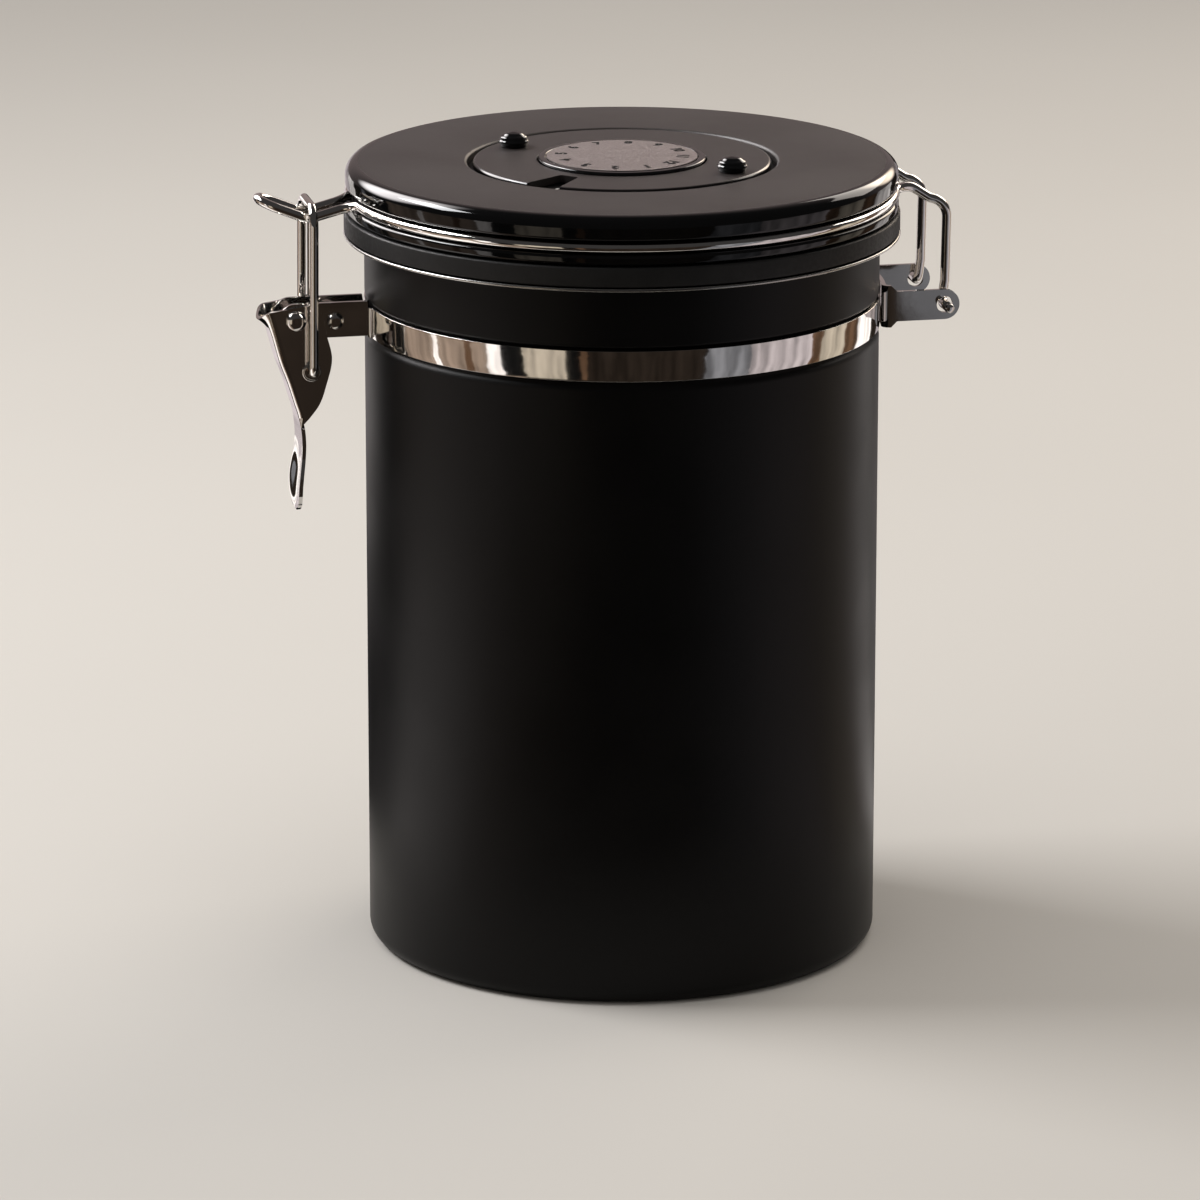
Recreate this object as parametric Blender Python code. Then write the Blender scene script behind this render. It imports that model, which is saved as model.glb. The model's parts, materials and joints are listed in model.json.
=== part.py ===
"""Coffee canister: a painted steel can with a wire-hooped lid, an over-centre latch and a date dial.

Metres, +Z up. The origin is the centre of the underside. The latch is at -Y, the lid's hinge at +Y.
The lid opens about the hinge line behind the can, the lever turns on its rivet in the band's lugs,
the link turns in the lever, the dial turns on the lid's hub and the valve's flap lifts off its seat.
"""

import math

import bmesh
import bpy
from mathutils import Matrix, Vector

# Clearances and cuts shared by every piece
GAP = 0.0003
RUNNING_GAP = 0.0002
OVERRUN = 0.002

# How finely round things are divided
ROUND_STEPS = 48
MIDDLE_STEPS = 32
SMALL_STEPS = 16
CORNER_STEPS = 3
WIRE_SIDE_STEPS = 2

# Can body: a drawn tube with a turned-out mouth, a groove for the band and a turned-in foot
BODY_RADIUS = 0.059
BODY_WALL = 0.0007
MOUTH_HEIGHT = 0.1676
MOUTH_FLANGE_WIDTH = 0.0047
MOUTH_FILLET = 0.0012
FOOT_FILLET = 0.0035
FOOT_LIP_WIDTH = 0.011
BAND_BELOW_MOUTH = 0.0186
BAND_GROOVE_MARGIN = 0.00045
BAND_GROOVE_DEPTH = 0.0011
BAND_GROOVE_SLOPE = 0.0006

# Base plate: its rim lies on the foot's lip and its middle is drawn down to the table
BASE_THICKNESS = 0.0007
BASE_STEP_SLOPE = 0.0006

# Clamp band: one strip round the can whose ends turn out in front as two lugs with rounded noses
BAND_THICKNESS = 0.001
BAND_HEIGHT = 0.0069
LUG_HEIGHT = 0.0081
LUG_RISE = 0.0011
LUG_INNER_HALF_GAP = 0.0032
LUG_BEND_RADIUS = 0.0014

# Lever rivet and tie rivet through the lugs
PIVOT_STAND_OUT = 0.0175
PIVOT_RISE = 0.0015
PIVOT_SHANK_RADIUS = 0.0015
PIVOT_HEAD_RADIUS = 0.0023
PIVOT_HEAD_HEIGHT = 0.0012
TIE_DROP = 0.0006
TIE_SIDE_GAP = 0.0003
TIE_SHANK_RADIUS = 0.0012
TIE_HEAD_RADIUS = 0.0019
TIE_HEAD_HEIGHT = 0.0009
SPACER_RADIUS = 0.0025
RIVET_DOME_SHARES = ((0.0, 1.0), (0.5, 0.88), (0.87, 0.5), (1.0, 0.12))

# Lever: a pressed channel whose web runs on below the cheeks and widens into a dished thumb tab
LEVER_THICKNESS = 0.0009
LEVER_DROP = 0.0448
LEVER_REACH = 0.0081
LEVER_CORNER = 0.0011
LEVER_NOTCH = 0.0022
LEVER_TAB_HALF_WIDTH = 0.0076
LEVER_TAB_DISH = 0.0009
LEVER_HEEL_SHARE = 0.86
# Rise and outward reach of the channel's web, then of the cheeks' free edge, and the half width
LEVER_CHANNEL_SHARES = (
    (0.045, 0.85, 0.083, -0.57, 1.0),
    (-0.018, 0.765, 0.011, -0.75, 1.0),
    (-0.105, 0.642, -0.08, -LEVER_HEEL_SHARE, 1.0),
    (-0.212, 0.481, -0.2, -1.0, 1.0),
    (-0.33, 0.247, -0.335, -0.84, 1.0),
    (-0.44, 0.06, -0.449, -0.6, 1.0),
    (-0.5, -0.04, -0.506, -0.36, 0.99),
)
# Rise and outward reach of the tab's face, its half width and how much of the dish it has
LEVER_TAB_SHARES = (
    (-0.562, -0.1, 0.7, 0.0),
    (-0.64, -0.13, 0.71, 0.0),
    (-0.72, -0.1, 0.78, 0.3),
    (-0.79, -0.04, 0.9, 0.9),
    (-0.86, 0.01, 0.97, 1.0),
    (-0.93, 0.02, 0.88, 0.7),
    (-0.978, 0.01, 0.62, 0.1),
    (-1.0, 0.0, 0.34, 0.0),
)

# Link: one round wire, its bottom run the pin in the lever, its ends lapped on the far side
LINK_WIRE_RADIUS = 0.001
LINK_SIDE_GAP = 0.0009
LINK_PIN_BACK_SHARE = 0.42
LINK_PIN_DROP_SHARE = 0.268
LINK_HOOK_GAP = 0.0011
LINK_HOOK_BACK = 0.0006
LINK_TOP_CORNER = 0.0045
LINK_PIN_CORNER = 0.0022
LINK_LAP_SHORT = 0.0055
LINK_LAP_RISE = 0.005
LINK_LAP_CORNER = 0.003

# Rear hinge bracket: a plate against the band with two ears
BRACKET_THICKNESS = 0.001
BRACKET_HALF_WIDTH = 0.0136
BRACKET_PLATE_HEIGHT = 0.0098
BRACKET_BEND_RADIUS = 0.0014
EAR_HEIGHT = 0.007
EAR_HOLE_RADIUS = 0.0019
HINGE_STAND_OUT = 0.0138
HINGE_RISE = 0.0004

# Lid cover: a pressed shell with a groove for the hoop, a sunk seat for the dial and a rolled lip
COVER_SET_IN = 0.0005
COVER_HEIGHT = 0.0109
COVER_THICKNESS = 0.0007
COVER_SHOULDER = 0.0029
COVER_LIP_WIDTH = 0.0023
COVER_LIP_FILLET = 0.0005
HOOP_ABOVE_LIP = 0.0039
HOOP_GROOVE_DEPTH = 0.0023
HOOP_BEAD_FILLET = 0.0007
GROOVE_SLOPE = 0.0002

# Hoop: one wire round the lid, drawn out as a tongue in front and as two legs behind
HOOP_WIRE_RADIUS = 0.0011
ROOT_TURN = 0.0034
TONGUE_HALF_WIDTH = 0.004
TONGUE_ROOT_OUT = 0.0041
TONGUE_ROOT_DROP = 0.0011
TONGUE_VALLEY_OUT = 0.011
TONGUE_VALLEY_DROP = 0.0029
TONGUE_TIP_OUT = 0.0218
TONGUE_TIP_RISE = 0.0016
TONGUE_BEND_RADIUS = 0.005
LEG_SIDE_GAP = 0.0008
LEG_ROOT_OUT = 0.0039
LEG_ROOT_DROP = 0.0004
LEG_SHOULDER_OUT = 0.0072
LEG_SHOULDER_DROP = 0.0026
LEG_CORNER_OUT = 0.0115
LEG_CORNER_DROP = 0.0038
LEG_KNEE_RISE = 0.0051
LEG_KNEE_OUT = 0.0007
LEG_BEND_RADIUS = 0.0045
LEG_KNEE_RADIUS = 0.004
LEG_FOOT_RADIUS = 0.0018
LEG_END_PROUD = 0.0044

# Dial: a turning ring on a fixed hub, over a plate of day numbers
DIAL_RADIUS = 0.0341
DIAL_THICKNESS = 0.0016
DIAL_SEAT_GAP = 0.0013
DIAL_EDGE_CHAMFER = 0.0006
DIAL_FLANGE_THICKNESS = 0.0007
DAY_PLATE_THICKNESS = 0.0006
HUB_HEAD_RADIUS = 0.0191
HUB_HEAD_OVERHANG = 0.0029
HUB_HEAD_ABOVE_DIAL = 0.0008
HUB_HEAD_CHAMFER = 0.0003
HUB_STEM_RADIUS = 0.0027
HUB_SINK_DEPTH = 0.0006
HUB_RIM_WIDTH = 0.0016
CENTRE_DISC_THICKNESS = 0.0007
CENTRE_DISC_CROWN = 0.0003
SCREW_SHANK_RADIUS = 0.0012
SCREW_SHANK_LENGTH = 0.0026
SCREW_HEAD_RADIUS = 0.0045
SCREW_HEAD_HEIGHT = 0.0014
KNOB_RADIUS = 0.0035
KNOB_HEIGHT = 0.003
KNOB_PLUG_RADIUS = 0.0016
KNOB_SET_IN = 0.0056
KNOB_ANGLE = math.radians(229)
KNOB_DOME_SHARES = ((0.0, 1.0), (0.5, 0.93), (0.82, 0.72), (1.0, 0.36))
WINDOW_ANGLE = math.radians(316.5)
WINDOW_DEPTH_SHARE = 0.77
WINDOW_HALF_WIDTH = 0.0047
WINDOW_INNER_SHARE = 0.5

# Liner: the lid's inner pan, whose rim is held by the cover's rolled lip
LINER_RIM_THICKNESS = 0.0005
LINER_DECK_THICKNESS = 0.0023
LINER_WALL = 0.0017
LINER_PLUG_SET_IN = 0.0047
LINER_PLUG_TAPER = 0.0011
LINER_PLUG_DEPTH = 0.0112
LINER_FLOOR_THICKNESS = 0.0016

# Gasket: a soft ring between the lid and the can's mouth
GASKET_PROUD = 0.0004
GASKET_THICKNESS = 0.0045
GASKET_EDGE = 0.0005
GASKET_SEAT_WIDTH = 0.0061
GASKET_RELIEF = 0.001

# One-way valve in the middle of the liner
VALVE_SLEEVE_RADIUS = 0.008
VALVE_SLEEVE_WALL = 0.0008
VALVE_SLEEVE_PROUD = 0.0029
VALVE_FLANGE_WIDTH = 0.0025
VALVE_FLANGE_THICKNESS = 0.001
VALVE_WEB_RISE = 0.0009
VALVE_WEB_THICKNESS = 0.001
VALVE_STEM_HOLE_RADIUS = 0.0013
VALVE_VENT_RADIUS = 0.0013
VALVE_VENT_RING_SHARE = 0.58
VALVE_VENT_COUNT = 4
FLAP_THICKNESS = 0.0008
FLAP_STEM_BELOW_WEB = 0.0005
CAP_SKIRT = 0.0013
CAP_THICKNESS = 0.0008
CAP_HOLE_RADIUS = 0.003
FILTER_THICKNESS = 0.0006
FILTER_POCKET_WALL = 0.0004

# Places worked out from the sizes above, from the can upwards
MOUTH_FLANGE_RADIUS = BODY_RADIUS + MOUTH_FLANGE_WIDTH
FOOT_LIP_RADIUS = BODY_RADIUS - FOOT_LIP_WIDTH
BAND_CENTRE_HEIGHT = MOUTH_HEIGHT - BAND_BELOW_MOUTH
BAND_GROOVE_RADIUS = BODY_RADIUS - BAND_GROOVE_DEPTH
BAND_MIDDLE_RADIUS = BAND_GROOVE_RADIUS + GAP + BAND_THICKNESS / 2
BAND_OUTER_RADIUS = BAND_MIDDLE_RADIUS + BAND_THICKNESS / 2
LUG_MIDDLE = LUG_INNER_HALF_GAP + BAND_THICKNESS / 2
LUG_OUTER = LUG_INNER_HALF_GAP + BAND_THICKNESS
LUG_CENTRE_HEIGHT = BAND_CENTRE_HEIGHT + LUG_RISE
LEVER_HALF_WIDTH = LUG_OUTER + GAP + LEVER_THICKNESS
PIVOT_FORWARD = BODY_RADIUS + PIVOT_STAND_OUT
PIVOT_HEIGHT = BAND_CENTRE_HEIGHT + PIVOT_RISE
TIE_FORWARD = PIVOT_FORWARD - LEVER_HEEL_SHARE * LEVER_REACH - TIE_HEAD_RADIUS - TIE_SIDE_GAP
TIE_HEIGHT = PIVOT_HEIGHT - TIE_DROP
HINGE_BACK = BODY_RADIUS + HINGE_STAND_OUT
HINGE_HEIGHT = BAND_CENTRE_HEIGHT + HINGE_RISE
GASKET_BOTTOM = MOUTH_HEIGHT + GAP
GASKET_TOP = GASKET_BOTTOM + GASKET_THICKNESS
COVER_RADIUS = MOUTH_FLANGE_RADIUS - COVER_SET_IN
COVER_BOTTOM = GASKET_TOP + GAP
LID_TOP = COVER_BOTTOM + COVER_HEIGHT
HOOP_HEIGHT = COVER_BOTTOM + HOOP_ABOVE_LIP
GROOVE_LOW = HOOP_HEIGHT - HOOP_WIRE_RADIUS - GAP
GROOVE_HIGH = HOOP_HEIGHT + HOOP_WIRE_RADIUS + GAP
GROOVE_RADIUS = COVER_RADIUS - HOOP_GROOVE_DEPTH
HOOP_RADIUS = GROOVE_RADIUS + GAP + HOOP_WIRE_RADIUS
VALLEY_FORWARD = HOOP_RADIUS + TONGUE_VALLEY_OUT
VALLEY_HEIGHT = HOOP_HEIGHT - TONGUE_VALLEY_DROP
LEG_HALF_SPACING = BRACKET_HALF_WIDTH - BRACKET_THICKNESS / 2 - LEG_SIDE_GAP - HOOP_WIRE_RADIUS
LINK_PIN_FORWARD = PIVOT_FORWARD - LINK_PIN_BACK_SHARE * LEVER_REACH
LINK_PIN_HEIGHT = PIVOT_HEIGHT - LINK_PIN_DROP_SHARE * LEVER_DROP
LINK_HALF_WIDTH = LEVER_HALF_WIDTH + GAP + PIVOT_HEAD_HEIGHT + LINK_SIDE_GAP + LINK_WIRE_RADIUS
LINK_TOP_FORWARD = VALLEY_FORWARD - LINK_HOOK_BACK
LINK_TOP_HEIGHT = VALLEY_HEIGHT + HOOP_WIRE_RADIUS + LINK_WIRE_RADIUS + LINK_HOOK_GAP
DIAL_SEAT_RADIUS = DIAL_RADIUS + DIAL_SEAT_GAP
DIAL_BOTTOM = LID_TOP - DIAL_THICKNESS
DAY_PLATE_BOTTOM = DIAL_BOTTOM - GAP - DAY_PLATE_THICKNESS
COVER_FLOOR_TOP = DAY_PLATE_BOTTOM - GAP
COVER_FLOOR_BOTTOM = COVER_FLOOR_TOP - COVER_THICKNESS
HUB_POST_RADIUS = HUB_HEAD_RADIUS - HUB_HEAD_OVERHANG
HUB_HEAD_TOP = LID_TOP + HUB_HEAD_ABOVE_DIAL
HUB_HEAD_BOTTOM = DIAL_BOTTOM + DIAL_FLANGE_THICKNESS + GAP
HUB_SINK_FLOOR = HUB_HEAD_TOP - HUB_SINK_DEPTH
CENTRE_DISC_RADIUS = HUB_HEAD_RADIUS - HUB_RIM_WIDTH - GAP
STEM_HOLE_RADIUS = HUB_STEM_RADIUS + GAP
KNOB_RING_RADIUS = DIAL_RADIUS - KNOB_SET_IN
LINER_DECK_RADIUS = GROOVE_RADIUS - COVER_THICKNESS - 2 * GAP
LINER_PLUG_RADIUS = BODY_RADIUS - BODY_WALL - LINER_PLUG_SET_IN
LINER_FLOOR_BOTTOM = COVER_BOTTOM - LINER_PLUG_DEPTH
LINER_FLOOR_TOP = LINER_FLOOR_BOTTOM + LINER_FLOOR_THICKNESS
VALVE_BORE_RADIUS = VALVE_SLEEVE_RADIUS - VALVE_SLEEVE_WALL
VALVE_SLEEVE_TOP = LINER_FLOOR_TOP + VALVE_SLEEVE_PROUD
VALVE_FLANGE_TOP = LINER_FLOOR_BOTTOM - GAP
VALVE_FLANGE_BOTTOM = VALVE_FLANGE_TOP - VALVE_FLANGE_THICKNESS
VALVE_WEB_BOTTOM = LINER_FLOOR_BOTTOM + VALVE_WEB_RISE
VALVE_WEB_TOP = VALVE_WEB_BOTTOM + VALVE_WEB_THICKNESS
FILTER_POCKET_RADIUS = VALVE_SLEEVE_RADIUS - FILTER_POCKET_WALL
FILTER_POCKET_TOP = VALVE_FLANGE_TOP + GAP / 2


def clear_scene() -> None:
    """Remove every object, mesh, curve and material left in the file."""
    for item in list(bpy.data.objects):
        bpy.data.objects.remove(item, do_unlink=True)
    for store in (bpy.data.meshes, bpy.data.curves, bpy.data.materials):
        for item in list(store):
            store.remove(item)


def finish(name: str, colour: tuple, roughness: float, metallic: float):
    """Make one Principled material."""
    material = bpy.data.materials.new(name)
    material.use_nodes = True
    shader = material.node_tree.nodes["Principled BSDF"]
    shader.inputs["Base Color"].default_value = (*colour, 1.0)
    shader.inputs["Roughness"].default_value = roughness
    shader.inputs["Metallic"].default_value = metallic
    return material


def place(name: str, data, material=None):
    """Put a mesh or a curve into the scene as one named object."""
    item = bpy.data.objects.new(name, data)
    bpy.context.scene.collection.objects.link(item)
    if material:
        data.materials.append(material)
    return item


def mesh_from(name: str, bm, closed: bool = True):
    """Turn a bmesh into a mesh, smooth except at sharp edges; a closed one gets its faces out."""
    if closed:
        bmesh.ops.recalc_face_normals(bm, faces=bm.faces)
    mesh = bpy.data.meshes.new(name)
    bm.to_mesh(mesh)
    bm.free()
    mesh.shade_smooth()
    mesh.set_sharp_from_angle(angle=math.radians(35))
    return mesh


def turned(name: str, profile: list, material, steps: int = ROUND_STEPS):
    """Turn an outline of (radius, height) round Z, given from its top down its outer side."""
    bm = bmesh.new()
    points = [bm.verts.new((radius, 0, height)) for radius, height in profile]
    for here, ahead in zip(points, points[1:]):
        bm.edges.new((here, ahead))
    if profile[0][0] > 0 or profile[-1][0] > 0:
        bm.edges.new((points[-1], points[0]))
    mesh = bpy.data.meshes.new(name)
    bm.to_mesh(mesh)
    bm.free()
    item = place(name, mesh, material)
    screw = item.modifiers.new("turn", "SCREW")
    screw.steps = steps
    screw.render_steps = steps
    screw.use_merge_vertices = True
    screw.merge_threshold = RUNNING_GAP / 20
    return item


def arc(centre_x: float, centre_y: float, radius: float, start: float, end: float, steps: int):
    """Points on an arc in a plane, both ends included; angles in degrees."""
    turns = [math.radians(start + (end - start) * i / steps) for i in range(steps + 1)]
    return [(centre_x + radius * math.cos(a), centre_y + radius * math.sin(a)) for a in turns]


def cylinder_cutter(name: str, radius: float, low, high, steps: int = SMALL_STEPS):
    """Make a hidden cylinder from one end point to the other, with its place in its mesh."""
    low, high = Vector(low), Vector(high)
    run = high - low
    spin = run.to_track_quat("Z", "Y").to_matrix().to_4x4()
    where = Matrix.Translation((low + high) / 2) @ spin
    bm = bmesh.new()
    bmesh.ops.create_cone(
        bm, cap_ends=True, segments=steps, radius1=radius, radius2=radius,
        depth=run.length, matrix=where,
    )
    return hide(place(name, mesh_from(name, bm)))


def cross_cutter(name: str, radius: float, half_length: float, y: float, z: float):
    """Make a hidden cylinder along X."""
    return cylinder_cutter(name, radius, (-half_length, y, z), (half_length, y, z))


def hide(item):
    """Mark an object as a cutter that is never built itself."""
    item.hide_render = True
    item.display_type = "WIRE"
    return item


def cut(item, cutter) -> None:
    """Take a cutter's space out of a piece."""
    boolean = item.modifiers.new("cut by " + cutter.name, "BOOLEAN")
    boolean.operation = "DIFFERENCE"
    boolean.solver = "EXACT"
    boolean.object = cutter


def grid_mesh(name: str, rows: list, close_columns: bool, closed: bool):
    """Skin a list of rows of points with quads; a tube of rows also gets its two end faces."""
    bm = bmesh.new()
    verts = [[bm.verts.new(point) for point in row] for row in rows]
    count = len(rows[0])
    for row, following in zip(verts, verts[1:]):
        for column in range(count if close_columns else count - 1):
            other = (column + 1) % count
            bm.faces.new((row[column], row[other], following[other], following[column]))
    if close_columns:
        bm.faces.new(verts[0])
        bm.faces.new(verts[-1])
    return mesh_from(name, bm, closed)


def strip(name: str, stations: list, thickness: float, material):
    """Stand a flat strip on edge along stations of (x, y, low, high) in plan."""
    path = [Vector(station[:2]) for station in stations]
    last = len(path) - 1
    rows = []
    for index, (x, y, low, high) in enumerate(stations):
        before = path[max(index - 1, 0)]
        after = path[min(index + 1, last)]
        side = (after - before).orthogonal().normalized()
        edge = (path[index] - before) if index else (after - path[index])
        side = side / side.dot(edge.orthogonal().normalized())
        step = side * thickness / 2
        outer = path[index] + step
        inner = path[index] - step
        rows.append([(*outer, high), (*outer, low), (*inner, low), (*inner, high)])
    return place(name, grid_mesh(name, rows, close_columns=True, closed=True), material)


def fold(ring_radius: float, plate: float, radius: float, inward: bool, steps: int):
    """Bend a strip from a plate along the reach axis into a ring about the origin.

    Points are (side, reach) from the plate to the ring; the ring starts at the returned angle, in
    degrees, from the reach axis.
    """
    centre_side = plate - radius if inward else plate + radius
    reach = ring_radius + radius
    angle = math.degrees(math.asin(centre_side / reach))
    centre_reach = reach * math.cos(math.radians(angle))
    start, end = (0, -90 - angle) if inward else (180, 270 - angle)
    return arc(centre_side, centre_reach, radius, start, end, steps), angle


def nose(plate: float, centre: float, radius: float, steps: int):
    """Round the end of a plate: stations of (side, reach, half height) from the tip inwards."""
    turns = [math.radians(90 * (steps - i) / (steps + 0.5)) for i in range(steps + 1)]
    return [(plate, centre + radius * math.sin(a), radius * math.cos(a)) for a in turns]


def rounded(points: list, radii: list, steps: int = CORNER_STEPS) -> list:
    """Replace the inner corners of a path in space by arcs."""
    points = [Vector(point) for point in points]
    path = [points[0]]
    for before, corner, after, radius in zip(points, points[1:], points[2:], radii):
        back = (before - corner).normalized()
        ahead = (after - corner).normalized()
        half_angle = back.angle(ahead) / 2
        reach = radius / math.tan(half_angle)
        centre = corner + (back + ahead).normalized() * radius / math.sin(half_angle)
        start = corner + back * reach - centre
        end = corner + ahead * reach - centre
        sweep = start.angle(end)
        for index in range(steps + 1):
            share = index / steps
            first = math.sin((1 - share) * sweep) / math.sin(sweep)
            second = math.sin(share * sweep) / math.sin(sweep)
            path.append(centre + start * first + end * second)
    path.append(points[-1])
    return path


def turn_between(start, leaving, end, arriving, steps: int = CORNER_STEPS) -> list:
    """Inner points of a smooth turn from one direction of travel to another."""
    start, end = Vector(start), Vector(end)
    pull = (end - start).length
    leaving = Vector(leaving).normalized() * pull
    arriving = Vector(arriving).normalized() * pull
    path = []
    for index in range(1, steps + 1):
        t = index / (steps + 1)
        path.append(
            start * (2 * t**3 - 3 * t**2 + 1) + leaving * (t**3 - 2 * t**2 + t)
            + end * (3 * t**2 - 2 * t**3) + arriving * (t**3 - t**2)
        )
    return path


def wire(name: str, path: list, radius: float, material):
    """Run a round wire along a path of points, closed at its ends."""
    curve = bpy.data.curves.new(name, "CURVE")
    curve.dimensions = "3D"
    curve.bevel_depth = radius
    curve.bevel_resolution = WIRE_SIDE_STEPS
    curve.use_fill_caps = True
    curve.twist_mode = "MINIMUM"
    spline = curve.splines.new("POLY")
    spline.points.add(len(path) - 1)
    for point, where in zip(spline.points, path):
        point.co = (*where, 1)
    return place(name, curve, material)


def axis_empty(name: str, x: float, y: float, z: float):
    """Put an empty on a joint's axis, for the pieces that turn about it."""
    empty = place(name, None)
    empty.location = (x, y, z)
    return empty


def hang_on(empty, *items) -> None:
    """Parent pieces to an empty and leave them where they are."""
    for item in items:
        item.parent = empty
        item.matrix_parent_inverse = Matrix.Translation(empty.location).inverted()


def build_body(paint):
    """The can's wall: flange at the mouth, groove for the band, lip turned in at the foot."""
    groove_half = BAND_HEIGHT / 2 + BAND_GROOVE_MARGIN
    low, high = BAND_CENTRE_HEIGHT - groove_half, BAND_CENTRE_HEIGHT + groove_half
    slope, half_wall = BAND_GROOVE_SLOPE, BODY_WALL / 2
    inner, groove_inner = BODY_RADIUS - BODY_WALL, BAND_GROOVE_RADIUS - BODY_WALL
    under_flange = MOUTH_HEIGHT - BODY_WALL
    neck_x, neck_y = BODY_RADIUS + MOUTH_FILLET, under_flange - MOUTH_FILLET
    foot = BODY_RADIUS - FOOT_FILLET
    profile = [(MOUTH_FLANGE_RADIUS, MOUTH_HEIGHT), (MOUTH_FLANGE_RADIUS, under_flange)]
    profile += arc(neck_x, neck_y, MOUTH_FILLET, 90, 180, CORNER_STEPS - 1)
    profile += [
        (BODY_RADIUS, high + slope), (BAND_GROOVE_RADIUS, high),
        (BAND_GROOVE_RADIUS, low), (BODY_RADIUS, low - slope),
    ]
    profile += arc(foot, FOOT_FILLET, FOOT_FILLET, 0, -90, CORNER_STEPS)
    profile += [(FOOT_LIP_RADIUS, 0), (FOOT_LIP_RADIUS, BODY_WALL)]
    profile += arc(foot, FOOT_FILLET, FOOT_FILLET - BODY_WALL, -90, 0, CORNER_STEPS)
    profile += [
        (inner, low - slope - half_wall), (groove_inner, low - half_wall),
        (groove_inner, high + half_wall), (inner, high + slope + half_wall),
    ]
    profile += arc(neck_x, neck_y, MOUTH_FILLET + BODY_WALL, 180, 90, CORNER_STEPS - 1)
    return turned("body_shell", profile, paint)


def build_base(steel):
    """The bottom: a rim on the foot's lip, and a middle drawn down to stand on."""
    rim_low = BODY_WALL + GAP
    rim_high = rim_low + BASE_THICKNESS
    foot_hollow = FOOT_FILLET - BODY_WALL
    fillet_reach = math.sqrt(max(foot_hollow**2 - (FOOT_FILLET - rim_low) ** 2, 0))
    rim = BODY_RADIUS - FOOT_FILLET + fillet_reach - GAP
    step = FOOT_LIP_RADIUS - GAP - BASE_STEP_SLOPE
    profile = [
        (0, BASE_THICKNESS), (step - BASE_THICKNESS, BASE_THICKNESS),
        (step + BASE_STEP_SLOPE - BASE_THICKNESS, rim_high), (rim, rim_high),
        (rim, rim_low), (step + BASE_STEP_SLOPE, rim_low), (step, 0), (0, 0),
    ]
    return turned("base_plate", profile, steel)


def build_clamp_band(steel):
    """The band: round its groove, then out at the front as two lugs with rounded noses."""
    lug_low, lug_high = LUG_CENTRE_HEIGHT - LUG_HEIGHT / 2, LUG_CENTRE_HEIGHT + LUG_HEIGHT / 2
    low, high = BAND_CENTRE_HEIGHT - BAND_HEIGHT / 2, BAND_CENTRE_HEIGHT + BAND_HEIGHT / 2
    bend, angle = fold(BAND_MIDDLE_RADIUS, LUG_MIDDLE, LUG_BEND_RADIUS, False, CORNER_STEPS)
    side = [
        (x, -reach, LUG_CENTRE_HEIGHT - half, LUG_CENTRE_HEIGHT + half)
        for x, reach, half in nose(LUG_MIDDLE, PIVOT_FORWARD, LUG_HEIGHT / 2, CORNER_STEPS + 1)
    ]
    side.append((bend[0][0], -bend[0][1], lug_low, lug_high))
    side += [(x, -reach, low, high) for x, reach in bend[1:]]
    ring = arc(0, 0, BAND_MIDDLE_RADIUS, angle - 90, 90, ROUND_STEPS // 2)
    side += [(x, y, low, high) for x, y in ring[1:]]
    mirrored = [(-x, y, bottom, top) for x, y, bottom, top in reversed(side[:-1])]
    band = strip("clamp_band", side + mirrored, BAND_THICKNESS, steel)
    half = LUG_OUTER + OVERRUN
    hole = PIVOT_SHANK_RADIUS + RUNNING_GAP
    cut(band, cross_cutter("pivot hole in the lugs", hole, half, -PIVOT_FORWARD, PIVOT_HEIGHT))
    hole = TIE_SHANK_RADIUS + RUNNING_GAP
    cut(band, cross_cutter("tie hole in the lugs", hole, half, -TIE_FORWARD, TIE_HEIGHT))
    return band


def build_rivet(name: str, steel, shank: float, head: float, head_height: float, under: float,
                forward: float, height: float):
    """A rivet along X with a domed head at each end, outside the plates that it holds."""
    dome = [(head * r, under + head_height * h) for r, h in RIVET_DOME_SHARES]
    upper = dome + [(head, under), (shank, under)]
    profile = upper + [(radius, -along) for radius, along in reversed(upper)]
    rivet = turned(name, profile, steel, SMALL_STEPS)
    rivet.location = (0, -forward, height)
    rivet.rotation_euler = (0, math.radians(90), 0)
    return rivet


def build_spacer(steel):
    """The tube on the tie rivet that keeps the lugs apart."""
    half, bore = LUG_INNER_HALF_GAP - GAP, TIE_SHANK_RADIUS + RUNNING_GAP
    profile = [(SPACER_RADIUS, half), (SPACER_RADIUS, -half), (bore, -half), (bore, half)]
    spacer = turned("tie_spacer", profile, steel, SMALL_STEPS)
    spacer.location = (0, -TIE_FORWARD, TIE_HEIGHT)
    spacer.rotation_euler = (0, math.radians(90), 0)
    return spacer


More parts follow.
